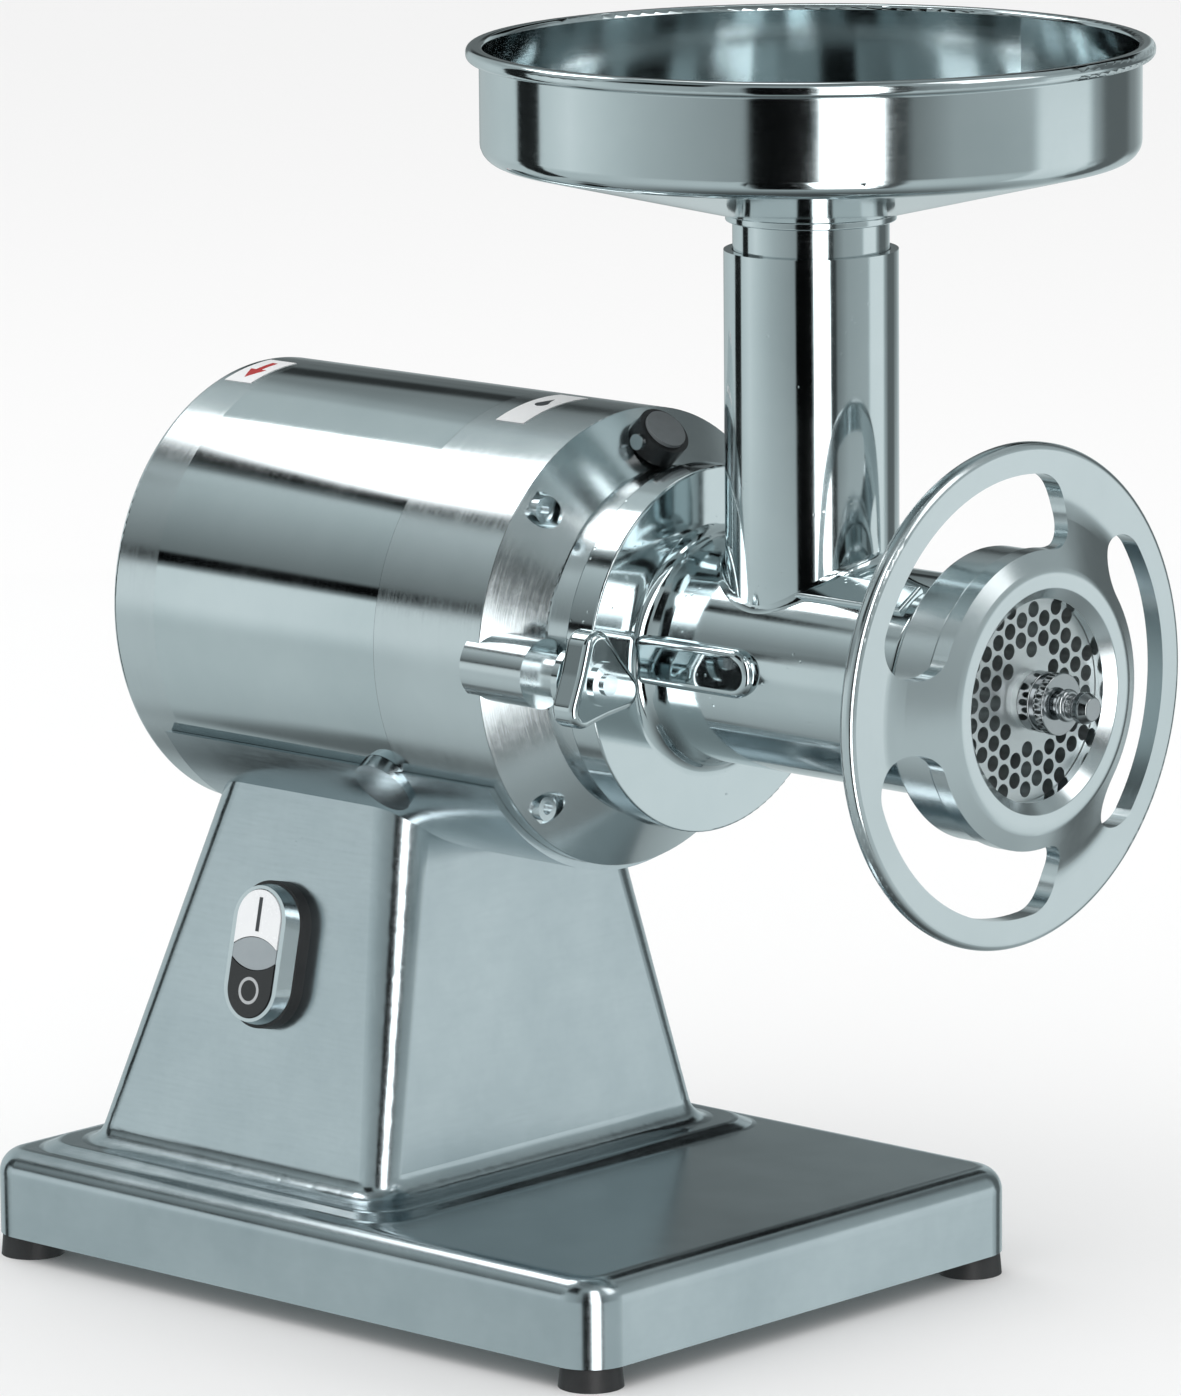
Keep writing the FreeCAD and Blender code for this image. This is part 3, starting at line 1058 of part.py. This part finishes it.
pin = turned([
    (0, auger_front + KNIFE_T, 0), (CASE_SCREW_R, auger_front + KNIFE_T, 0), (CASE_SCREW_R, knife_front, 0),
    (PIN_STEM_R, knife_front, 0), (PIN_STEM_R, PIN_COLLAR_Y0, 0), (PIN_COLLAR_R, PIN_COLLAR_Y0, 0.5),
    (PIN_COLLAR_R, PIN_COLLAR_Y1, 0.5), (PIN_GROOVE_R, PIN_COLLAR_Y1, 0),
    (PIN_GROOVE_R, PIN_WASHER_Y0, 0), (PIN_WASHER_R, PIN_WASHER_Y0, 0.4),
    (PIN_WASHER_R, PIN_WASHER_Y1, 0.4), (PIN_WAIST_R, PIN_WASHER_Y1, 0), (PIN_WAIST_R, PIN_RING_Y0, 0),
    (PIN_RING_R, PIN_RING_Y0, 1.2), (PIN_RING_R, PIN_RING_Y1, 1.2), (PIN_WAIST_R, PIN_RING_Y1, 0.4),
    (PIN_WAIST_R, PIN_BALL_Y0, 0.4), (PIN_BALL_R, PIN_BALL_Y0 - 2 * CUT, 1.0),
    (PIN_BALL_R, PIN_TIP_Y + 3 * CUT, 1.6), (PIN_TIP_R, PIN_TIP_Y, 0.6), (0, PIN_TIP_Y, 0)])
save("front_pin", pin)

# ======== handwheel ring nut ========
lip_back = PLATE_FACE_Y - RUN
rim_back = WHEEL_FRONT_Y + WHEEL_RIM_T
web_back = HUB_FRONT_Y + WHEEL_RIM_T + 2 * CUT
wheel = turned([
    (COLLAR_R + RUN, HUB_BACK_Y, 0.8), (COLLAR_R + RUN, lip_back, 0), (MOUTH_R, lip_back, 0),
    (MOUTH_R, HUB_FRONT_Y + MOUTH_STEP, 0), (MOUTH_LIP_R, HUB_FRONT_Y, 0.6),
    (HUB_FACE_R, HUB_FRONT_Y - SEAT, 8.0), (WHEEL_RIM_IN_R - 10 * CUT, WHEEL_FRONT_Y - CUT, 24.0),
    (WHEEL_R, WHEEL_FRONT_Y, WHEEL_RIM_ROUND), (WHEEL_R, rim_back, WHEEL_RIM_ROUND),
    (WHEEL_RIM_IN_R - 8 * CUT, rim_back, 20.0), (HUB_R, web_back, 2.0), (HUB_R, HUB_BACK_Y, 1.2)])
slot_mid = (WINDOW_IN_R + WHEEL_RIM_IN_R) / 2
slot_half = (WHEEL_RIM_IN_R - WINDOW_IN_R) / 2
band = ring_y(WHEEL_RIM_IN_R, WINDOW_IN_R, HUB_FRONT_Y - CUT, HUB_BACK_Y + CUT)
for i in range(WINDOW_COUNT):
    middle = WINDOW_START_DEG + FULL * i / WINDOW_COUNT
    edge_pts = [V(0, HUB_FRONT_Y - CUT, AXIS_Z)]
    for deg in (-WINDOW_HALF_DEG, 0, WINDOW_HALF_DEG):
        ex, ez = polar(2 * WHEEL_R, middle + deg)
        edge_pts.append(V(ex, HUB_FRONT_Y - CUT, AXIS_Z + ez))
    edge_pts.append(edge_pts[0])
    wedge = Part.Face(Part.makePolygon(edge_pts)).extrude(V(0, HUB_BACK_Y - HUB_FRONT_Y + 2 * CUT, 0))
    window = band.common(wedge)
    for deg in (-WINDOW_HALF_DEG, WINDOW_HALF_DEG):
        cx, cz = polar(slot_mid, middle + deg)
        window = window.fuse(rod_y(slot_half, HUB_FRONT_Y - CUT, HUB_BACK_Y + CUT, cx, AXIS_Z + cz))
    wheel = wheel.cut(window.removeSplitter())
save("handwheel", wheel)

# ======== hopper ========
spigot_foot = NECK_TOP_Z - SPIGOT_DEPTH
inner_top = HOPPER_TOP_Z - HOPPER_SHEET
hopper = turned([
    (SPIGOT_R - HOPPER_SHEET, spigot_foot, 0), (SPIGOT_R, spigot_foot, 0),
    (SPIGOT_R, HOPPER_LIP_Z, 0), (HOPPER_LIP_R, HOPPER_LIP_Z, 0.6),
    (HOPPER_LIP_R, HOPPER_LIP_Z + HOPPER_LIP_H, 0.4), (HOPPER_R, HOPPER_WALL_FOOT_Z, HOPPER_CORNER_R),
    (HOPPER_R, HOPPER_TOP_Z - HOPPER_BEAD_H, 0.8), (HOPPER_BEAD_R, HOPPER_TOP_Z - HOPPER_BEAD_H, 2.2),
    (HOPPER_BEAD_R, HOPPER_TOP_Z, 2.4), (HOPPER_R - HOPPER_SHEET, HOPPER_TOP_Z, 2.0),
    (HOPPER_R - HOPPER_SHEET, HOPPER_WALL_FOOT_Z + HOPPER_SHEET, HOPPER_CORNER_R - HOPPER_SHEET),
    (SPIGOT_R - HOPPER_SHEET, HOPPER_LIP_Z + HOPPER_LIP_H + HOPPER_SHEET, 2.0)], about_y=False)
save("hopper", hopper)

print("mid y", MID_Y)
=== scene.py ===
import json
import math

import bmesh
import bpy
from mathutils import Matrix, Vector


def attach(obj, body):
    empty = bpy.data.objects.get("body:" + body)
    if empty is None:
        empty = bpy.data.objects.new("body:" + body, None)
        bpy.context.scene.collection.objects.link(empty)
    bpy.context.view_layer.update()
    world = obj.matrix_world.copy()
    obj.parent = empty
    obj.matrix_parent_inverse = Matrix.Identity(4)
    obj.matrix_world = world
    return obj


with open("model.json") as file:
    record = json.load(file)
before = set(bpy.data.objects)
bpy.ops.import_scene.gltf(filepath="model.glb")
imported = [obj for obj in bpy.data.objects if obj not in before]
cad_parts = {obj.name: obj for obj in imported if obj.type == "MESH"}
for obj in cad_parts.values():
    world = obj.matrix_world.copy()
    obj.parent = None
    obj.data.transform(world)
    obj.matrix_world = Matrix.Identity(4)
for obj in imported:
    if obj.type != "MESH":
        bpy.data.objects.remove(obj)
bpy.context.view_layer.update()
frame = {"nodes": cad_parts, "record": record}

scene = bpy.context.scene
scene.view_settings.view_transform = "Standard"

nodes = frame["nodes"]


# ---------------------------------------------------------------- camera
CAMERA_PLACE = (-2.37176, -2.18517, 0.85552)
CAMERA_RIGHT = (0.6776169, -0.73536486, -0.00859475)
CAMERA_UP = (0.14615666, 0.12320683, 0.98155912)
CAMERA_LENS = 226.016
CAMERA_SENSOR = 36.0
CAMERA_REACH = 50.0


def make_camera():
    right = Vector(CAMERA_RIGHT)
    up = Vector(CAMERA_UP)
    forward = up.cross(right).normalized()
    up = right.cross(forward).normalized()
    data = bpy.data.cameras.new("camera")
    data.lens = CAMERA_LENS
    data.sensor_width = CAMERA_SENSOR
    data.clip_end = CAMERA_REACH
    cam = bpy.data.objects.new("camera", data)
    rows = Matrix((right, up, -forward)).transposed()
    cam.matrix_world = Matrix.Translation(CAMERA_PLACE) @ rows.to_4x4()
    scene.collection.objects.link(cam)
    scene.camera = cam


make_camera()


# ---------------------------------------------------------------- node helpers
class Tree:
    """A short way to write one material's nodes."""

    def __init__(self, name, metallic=0.0):
        self.mat = bpy.data.materials.new(name)
        self.mat.use_nodes = True
        self.t = self.mat.node_tree
        self.t.nodes.clear()
        self.out = self.t.nodes.new("ShaderNodeOutputMaterial")
        self.bsdf = self.t.nodes.new("ShaderNodeBsdfPrincipled")
        self.bsdf.inputs["Metallic"].default_value = metallic
        self.link(self.bsdf.outputs[0], self.out.inputs["Surface"])
        self._obj = None

    def node(self, kind, **settings):
        n = self.t.nodes.new(kind)
        for k, v in settings.items():
            setattr(n, k, v)
        return n

    def link(self, a, b):
        self.t.links.new(a, b)

    def put(self, value, socket):
        if isinstance(value, bpy.types.NodeSocket):
            self.link(value, socket)
        else:
            socket.default_value = value

    def place(self):
        if self._obj is None:
            self._obj = self.node("ShaderNodeTexCoord").outputs["Object"]
        return self._obj

    def math(self, op, a, b=0.0):
        n = self.node("ShaderNodeMath", operation=op)
        for v, s in zip((a, b), n.inputs):
            self.put(v, s)
        return n.outputs[0]

    def vmath(self, op, a, b=(0, 0, 0)):
        n = self.node("ShaderNodeVectorMath", operation=op)
        self.put(a, n.inputs[0])
        self.put(b, n.inputs[1])
        return n.outputs["Vector"]

    def split(self, v):
        n = self.node("ShaderNodeSeparateXYZ")
        self.link(v, n.inputs[0])
        return n.outputs

    def join(self, x, y, z):
        n = self.node("ShaderNodeCombineXYZ")
        for v, s in zip((x, y, z), n.inputs):
            self.put(v, s)
        return n.outputs[0]

    def noise(self, vector, scale, detail=2.0, rough=0.5):
        n = self.node("ShaderNodeTexNoise")
        self.link(vector, n.inputs["Vector"])
        n.inputs["Scale"].default_value = scale
        n.inputs["Detail"].default_value = detail
        n.inputs["Roughness"].default_value = rough
        return n.outputs["Fac"]

    def voronoi(self, vector, scale):
        n = self.node("ShaderNodeTexVoronoi", feature="F1")
        self.link(vector, n.inputs["Vector"])
        n.inputs["Scale"].default_value = scale
        return n.outputs["Distance"]

    def span(self, value, low, high, to_low=0.0, to_high=1.0):
        n = self.node("ShaderNodeMapRange", clamp=True)
        for v, s in zip((value, low, high, to_low, to_high), n.inputs):
            self.put(v, s)
        return n.outputs[0]

    def blend(self, share, a, b):
        n = self.node("ShaderNodeMix", data_type="RGBA")
        self.put(share, n.inputs["Factor"])
        self.put(a, n.inputs[6])
        self.put(b, n.inputs[7])
        return n.outputs[2]

    def bump(self, height, distance, normal=None):
        n = self.node("ShaderNodeBump")
        n.inputs["Strength"].default_value = 1.0
        n.inputs["Distance"].default_value = distance
        self.link(height, n.inputs["Height"])
        if normal is not None:
            self.link(normal, n.inputs["Normal"])
        return n.outputs[0]

    def set(self, **inputs):
        for k, v in inputs.items():
            self.put(v, self.bsdf.inputs[k.replace("_", " ")])
        return self


def rgb(r, g, b):
    return (r, g, b, 1.0)


AXIS_Z = 0.2535
MID_Y = 0.10335
SMEAR_SCALE = 18.0


def about(t, axis, centre=(0.0, 0.0, AXIS_Z)):
    """(distance along axis, distance from axis, turn) of a surface point about an axis."""
    p = t.split(t.vmath("SUBTRACT", t.place(), centre))
    along, u, v = {"Y": (p[1], p[0], p[2]), "Z": (p[2], p[0], p[1])}[axis]
    r = t.math("SQRT", t.math("ADD", t.math("MULTIPLY", u, u), t.math("MULTIPLY", v, v)))
    turn = t.math("ARCTAN2", v, u)
    return along, r, turn


def metal(name, colour, dark, rough, rough_span, grain=None, grain_depth=0.0, wave=0.0,
          pits=0.0, anisotropic=0.0, tangent=None):
    """Polished or satin metal: colour drift, smears and grain in the finish,
    a slight wave and pits in the surface."""
    t = Tree(name, 1.0)
    cloud = t.noise(t.place(), SMEAR_SCALE, 5.0, 0.6)
    fine = t.noise(t.place(), 420.0, 3.0, 0.6)
    t.set(Base_Color=t.blend(t.span(cloud, 0.3, 0.7), rgb(*dark), rgb(*colour)))
    spread = t.math("ADD", t.span(cloud, 0.35, 0.75, 0.0, rough_span),
                    t.span(fine, 0.35, 0.7, 0.0, rough_span * 0.35))
    level = t.math("ADD", spread, rough)
    normal = None
    if wave:
        normal = t.bump(t.noise(t.place(), 24.0, 2.0, 0.45), wave)
    if grain:
        lines = grain(t)
        level = t.math("ADD", level, t.span(lines, 0.4, 0.75, 0.0, rough_span * 0.8))
        normal = t.bump(lines, grain_depth, normal=normal)
    if pits:
        spots = t.span(t.voronoi(t.place(), 260.0), 0.0, 0.16, 1.0, 0.0)
        gate = t.span(t.noise(t.place(), 60.0, 2.0), 0.55, 0.7)
        normal = t.bump(t.math("MULTIPLY", t.math("MULTIPLY", spots, gate), -1.0), pits, normal=normal)
    t.set(Roughness=level)
    if normal is not None:
        t.set(Normal=normal)
    if anisotropic:
        t.bsdf.inputs["Anisotropic"].default_value = anisotropic
        tan = t.node("ShaderNodeTangent", direction_type="RADIAL", axis=tangent)
        t.link(tan.outputs[0], t.bsdf.inputs["Tangent"])
    return t.mat


def turned_grain(axis, centre=(0.0, 0.0, AXIS_Z), pitch=5200.0, wander=3.0):
    """Fine lines round an axis, as a lathe or a polishing belt leaves them."""
    def lines(t):
        along, r, turn = about(t, axis, centre)
        return t.noise(t.join(t.math("MULTIPLY", along, pitch), t.math("MULTIPLY", r, pitch),
                              t.math("MULTIPLY", turn, wander)), 1.0, 2.0, 0.6)
    return lines


def brushed_grain(scale):
    """Fine lines along one direction, as a belt leaves them on a flat."""
    def lines(t):
        return t.noise(t.vmath("MULTIPLY", t.place(), scale), 1.0, 3.0, 0.6)
    return lines


STEEL = (0.64, 0.70, 0.715)
STEEL_DARK = (0.58, 0.645, 0.66)
ALU = (0.66, 0.715, 0.73)
ALU_DARK = (0.60, 0.655, 0.67)
CAST = (0.54, 0.605, 0.63)
CAST_DARK = (0.44, 0.505, 0.53)

looks = {}
looks["motor_drum"] = metal("drum_steel", STEEL, STEEL_DARK, 0.035, 0.05,
                            turned_grain("Y"), 0.0000012, wave=0.00002)
looks["rear_cover"] = looks["gear_case"] = looks["end_shield"] = metal(
    "turned_aluminium", ALU, ALU_DARK, 0.10, 0.07, turned_grain("Y", pitch=3600.0), 0.0000035,
    anisotropic=0.45, tangent="Y")
looks["head_casting"] = metal("head_steel", STEEL, STEEL_DARK, 0.05, 0.07, wave=0.00008, pits=0.00012)
looks["hopper"] = metal("hopper_steel", STEEL, STEEL_DARK, 0.04, 0.06,
                        turned_grain("Z", (0, -MID_Y, 0)), 0.0000015, wave=0.00002)
looks["clamp_knob"] = metal("knob_steel", STEEL, STEEL_DARK, 0.06, 0.07, wave=0.00004)
looks["front_pin"] = metal("pin_steel", (0.42, 0.44, 0.45), (0.34, 0.36, 0.37), 0.09, 0.08, wave=0.00003)
looks["handwheel"] = metal("wheel_aluminium", ALU, ALU_DARK, 0.13, 0.06,
                           turned_grain("Y", pitch=6000.0, wander=14.0), 0.0000012, wave=0.00004)
looks["base_casting"] = metal("cast_aluminium", CAST, CAST_DARK, 0.15, 0.06,
                              brushed_grain((60.0, 60.0, 900.0)), 0.0000006, wave=0.00005, pits=0.00004)

slot_looks = {}


def slot_metal(slot, *args, **kw):
    slot_looks[slot] = metal(slot, *args, **kw)


slot_metal("cast_aluminium", ALU, ALU_DARK, 0.2, 0.1)
slot_metal("turned_aluminium", ALU, ALU_DARK, 0.2, 0.1)
slot_metal("polished_steel", STEEL, STEEL_DARK, 0.05, 0.06)
slot_metal("satin_steel", STEEL, STEEL_DARK, 0.22, 0.1)
slot_metal("ground_steel", (0.66, 0.69, 0.69), (0.56, 0.60, 0.61), 0.34, 0.12,
           turned_grain("Y", pitch=2600.0), 0.000008)
slot_metal("zinc_steel", (0.62, 0.68, 0.70), (0.5, 0.56, 0.58), 0.13, 0.12)
slot_metal("gear_steel", (0.45, 0.46, 0.47), (0.36, 0.37, 0.38), 0.3, 0.12)
slot_metal("laminated_steel", (0.35, 0.36, 0.38), (0.28, 0.29, 0.31), 0.4, 0.12)
slot_metal("copper_winding", (0.72, 0.42, 0.22), (0.6, 0.33, 0.16), 0.3, 0.12)
slot_metal("bezel_chrome", (0.62, 0.68, 0.70), (0.58, 0.64, 0.66), 0.16, 0.05)


def plastic(name, colour, other, rough, grain_depth=0.00002, grain_scale=900.0):
    """Moulded plastic or rubber: spark-eroded grain, a little colour drift and rubbed patches."""
    t = Tree(name)
    cloud = t.noise(t.place(), 30.0, 4.0, 0.6)
    grain = t.noise(t.place(), grain_scale, 2.0, 0.5)
    t.set(Base_Color=t.blend(t.span(cloud, 0.3, 0.7), rgb(*colour), rgb(*other)),
          Roughness=t.math("ADD", t.span(cloud, 0.3, 0.75, -0.04, 0.08),
                           t.span(grain, 0.3, 0.7, rough - 0.02, rough + 0.04)),
          Normal=t.bump(grain, grain_depth))
    return t.mat


slot_looks["black_rubber"] = plastic("black_rubber", (0.012, 0.012, 0.013), (0.03, 0.03, 0.031), 0.5, 0.00006)
slot_looks["black_plastic"] = plastic("black_plastic", (0.010, 0.011, 0.012), (0.018, 0.019, 0.02), 0.22)
slot_looks["white_plastic"] = plastic("white_plastic", (0.80, 0.82, 0.83), (0.74, 0.76, 0.78), 0.25)
slot_looks["grey_plastic"] = plastic("grey_plastic", (0.30, 0.34, 0.36), (0.26, 0.30, 0.32), 0.18)
slot_looks["dark_grey_plastic"] = plastic("dark_grey_plastic", (0.06, 0.06, 0.065), (0.08, 0.08, 0.085), 0.4)
slot_looks["cap_grey"] = plastic("cap_grey", (0.19, 0.21, 0.22), (0.12, 0.135, 0.14), 0.5, 0.00012, 500.0)
slot_looks["label_film"] = plastic("label_film", (0.80, 0.81, 0.81), (0.75, 0.76, 0.77), 0.3)
slot_looks["mark_dark"] = plastic("mark_dark", (0.03, 0.035, 0.04), (0.04, 0.045, 0.05), 0.3)
slot_looks["mark_pale"] = plastic("mark_pale", (0.42, 0.44, 0.45), (0.38, 0.40, 0.41), 0.3)


def dress_nodes():
    """Every CAD node gets its own finish, or else its record slot's."""
    slots = {}
    for part in frame["record"]["subparts"]:
        slots[part["node"]] = part["material_slot"]
    for name, obj in nodes.items():
        mat = looks.get(name) or slot_looks[slots[name]]
        for s in obj.material_slots:
            s.material = mat


dress_nodes()


# ---------------------------------------------------------------- label marks
LABEL_R = 0.0864
PRINT_RISE = 0.00008
ARROW_Y = 0.2675 - MID_Y
DROP_Y = 0.1235 - MID_Y


def printed_mark(name, look, stations, middle_y):
    """A thin raised print on a label, round the drum's axis.
    stations are (degrees from +X, half width in metres)."""
    mesh = bpy.data.meshes.new(name)
    bm = bmesh.new()
    rows = []
    for deg, half in stations:
        a = math.radians(deg)
        row = []
        top, foot = LABEL_R + PRINT_RISE, LABEL_R - PRINT_RISE
        for r, y in ((top, -half), (top, half), (foot, half), (foot, -half)):
            row.append(bm.verts.new((r * math.cos(a), middle_y + y, AXIS_Z + r * math.sin(a))))
        rows.append(row)
    for near, far in zip(rows, rows[1:]):
        for i in range(4):
            k = (i + 1) % 4
            bm.faces.new((near[i], near[k], far[k], far[i]))
    bm.faces.new(rows[0][::-1])
    bm.faces.new(rows[-1])
    bmesh.ops.recalc_face_normals(bm, faces=bm.faces)
    bm.to_mesh(mesh)
    bm.free()
    mesh.materials.append(look)
    obj = bpy.data.objects.new(name, mesh)
    scene.collection.objects.link(obj)
    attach(obj, "base")


def arrow_stations():
    """A shaft, then a head that narrows to its tip."""
    shaft = [(95.0 + i, 0.0014) for i in range(7)]
    head = [(101.03 + 1.05 * i, 0.0040 * (1 - i / 5.0) + 0.0001) for i in range(1, 6)]
    return shaft + [(101.03, 0.0040)] + head


def drop_stations(steps=20, belly=13.6):
    """An oil drop: a point that swells to its belly, then a half circle."""
    stations = []
    for i in range(steps + 1):
        if i < belly:
            width = math.pow(i / belly, 1.35)
        else:
            width = math.sqrt(max(1 - ((i - belly) / (steps - belly)) ** 2, 0.0))
        stations.append((93.2 + 6.4 * i / steps, 0.0001 + 0.0028 * width))
    return stations


print_red = plastic("print_red", (0.45, 0.02, 0.02), (0.38, 0.02, 0.02), 0.3)
printed_mark("arrow_mark", print_red, arrow_stations(), ARROW_Y)
printed_mark("drop_mark", slot_looks["mark_dark"], drop_stations(), DROP_Y)


# ---------------------------------------------------------------- studio
def grey(value):
    """A display value of 0 to 255 as light."""
    v = value / 255.0
    return v / 12.92 if v <= 0.04045 else ((v + 0.055) / 1.055) ** 2.4


def step(low, high, x):
    if low == high:
        return 1.0 if x >= low else 0.0
    s = min(max((x - low) / (high - low), 0.0), 1.0)
    return s * s * (3 - 2 * s)


def window(x, low, high, soft):
    return step(low - soft, low + soft, x) * (1 - step(high - soft, high + soft, x))


# azimuth and display value round the wall
WALL = ((-180, 150), (-165, 110), (-112, 140), (-80, 165), (-45, 205), (-30, 190), (0, 185), (30, 165), (48, 130),
        (60, 190), (70, 170), (85, 125), (108, 105), (125, 165), (150, 160), (180, 150))


def along_wall(az, table):
    for (a0, v0), (a1, v1) in zip(table, table[1:]):
        if a0 <= az <= a1:
            return v0 + (v1 - v0) * (az - a0) / (a1 - a0)
    return table[0][1]


# each panel: azimuth low, high, elevation low, high, edge softness,
# display value at its low and high edge, strength
PANELS = (
    (-60, -24, 13, 39, 1.5, 105, 185, 1.0),
    (-53, -20, 8.5, 13.5, 0.8, 3, 3, 1.0),
    (-40, -12, 38.5, 42.5, 0.8, 20, 20, 1.0),
    (-27, 6, 42.5, 62, 1.0, 255, 255, 3.0),
    (6, 26, 36, 62, 2.0, 170, 190, 1.0),
    (30, 62, 4, 17, 3.0, 100, 90, 1.0),
    (30, 62, 17, 27, 3.0, 45, 45, 1.0),
    (30, 62, 27, 44, 3.0, 110, 150, 1.0),
    (-28, -13, -30, 34, 1.0, 28, 28, 1.0),
    (-135, -114, -40, 40, 1.2, 6, 6, 1.0),
    (-157, -137, -35, 48, 1.0, 255, 255, 2.6),
    (-165, -158, -40, 40, 1.5, 60, 60, 1.0),
    (122, 149, -35, 3, 3.0, 196, 214, 1.0),
    (124, 147, 6, 42, 4.0, 158, 138, 1.0),
    (92, 114, -35, 40, 4.0, 92, 92, 1.0),
    (-16, 12, -60, -43, 2.0, 10, 10, 1.0),
    (-30, -18, -47, -39, 2.0, 90, 100, 1.0),
    (-100, -62, 30, 58, 2.0, 14, 14, 1.0),
    (60, 88, 24, 50, 2.0, 12, 12, 1.0),
    (150, 178, 22, 60, 2.5, 240, 250, 1.6),
    (35, 58, 50, 68, 2.0, 250, 250, 1.8),
)


def studio(az, el):
    """Light from one direction of the studio: pale walls, a greyer ceiling,
    a floor with painted shadow that darkens it downwards, soft boxes and dark gaps between them."""
    v = grey(along_wall(az, WALL))
    v += (grey(150) - v) * step(6, 40, el)
    v += (grey(105) - v) * step(50, 80, el)
    v += (grey(178) - v) * step(3, 12, -el)
    # painted shadow: the floor that mirrors see darkens towards straight down, standing in for the shade under
    # the machine
    v += (grey(70) - v) * step(20, 80, -el)
    for a0, a1, e0, e1, soft, low, high, strength in PANELS:
        share = window(az, a0, a1, soft) * window(el, e0, e1, soft)
        if share > 0:
            at = min(max((el - e0) / (e1 - e0), 0.0), 1.0)
            v += (grey(low + (high - low) * at) * strength - v) * share
    return v


METAL_SHINE = 0.68  # what the metals give back of the light that falls on them


def make_dome(radius=1.6, centre=(0.0, 0.0, 0.25), across=288, up=144):
    """A studio all round that only mirrors see, and that stands in for the floor in them too, with a painted
    shadow under the machine.
    """
    mesh = bpy.data.meshes.new("studio_dome")
    bm = bmesh.new()
    lit = bm.verts.layers.float_color.new("light")
    rings = []
    for j in range(up + 1):
        el = -90 + 180 * j / up
        ring = []
        for i in range(across):
            az = -180 + 360 * i / across
            a, e = math.radians(az), math.radians(el)
            v = bm.verts.new((centre[0] + radius * math.cos(e) * math.sin(a),
                              centre[1] + radius * math.cos(e) * math.cos(a), centre[2] + radius * math.sin(e)))
            s = studio(az, el) / METAL_SHINE
            cool = 1 - step(0.5, 1.6, s)
            v[lit] = (s * (1 - 0.13 * cool), s * (1 - 0.015 * cool), s, 1.0)
            ring.append(v)
        rings.append(ring)
    for low, high in zip(rings, rings[1:]):
        for i in range(across):
            k = (i + 1) % across
            bm.faces.new((low[i], low[k], high[k], high[i]))
    bm.to_mesh(mesh)
    bm.free()
    dome = bpy.data.objects.new("studio_dome", mesh)
    scene.collection.objects.link(dome)
    t = Tree("studio_light")
    t.t.nodes.remove(t.bsdf)
    shine = t.node("ShaderNodeEmission")
    light = t.node("ShaderNodeAttribute", attribute_name="light")
    t.link(light.outputs["Color"], shine.inputs["Color"])
    t.link(shine.outputs[0], t.out.inputs["Surface"])
    mesh.materials.append(t.mat)
    for flag in ("camera", "diffuse", "transmission", "volume_scatter", "shadow"):
        setattr(dome, "visible_" + flag, False)


def make_floor(half=14.0):
    mesh = bpy.data.meshes.new("floor")
    mesh.from_pydata([(-half, -half, 0), (half, -half, 0), (half, half, 0), (-half, half, 0)], [], [(0, 1, 2, 3)])
    floor = bpy.data.objects.new("floor", mesh)
    scene.collection.objects.link(floor)
    t = Tree("floor_paper")
    t.set(Base_Color=rgb(0.82, 0.82, 0.82), Roughness=0.9)
    t.bsdf.inputs["Specular IOR Level"].default_value = 0.1
    mesh.materials.append(t.mat)
    floor.visible_glossy = False


# name, place, size in metres, power in watts
AREA_LIGHTS = (
    ("key", (-1.3, -0.6, 2.2), 1.6, 10.0),
    ("fill", (1.6, -1.2, 1.9), 1.4, 5.0),
    ("rear", (0.4, 2.2, 2.3), 1.6, 6.0),
)


def make_lights():
    world = bpy.data.worlds.new("studio")
    scene.world = world
    world.use_nodes = True
    back = world.node_tree.nodes["Background"]
    back.inputs["Color"].default_value = rgb(1.0, 1.0, 1.0)
    back.inputs["Strength"].default_value = 1.08
    for name, place, size, power in AREA_LIGHTS:
        data = bpy.data.lights.new(name, "AREA")
        data.shape = "SQUARE"
        data.size = size
        data.energy = power
        obj = bpy.data.objects.new(name, data)
        obj.location = place
        obj.rotation_mode = "QUATERNION"
        obj.rotation_quaternion = (Vector((0, 0, 0.25)) - Vector(place)).to_track_quat("-Z", "Y")
        obj.visible_camera = False
        obj.visible_glossy = False
        scene.collection.objects.link(obj)


make_dome()
make_floor()
make_lights()
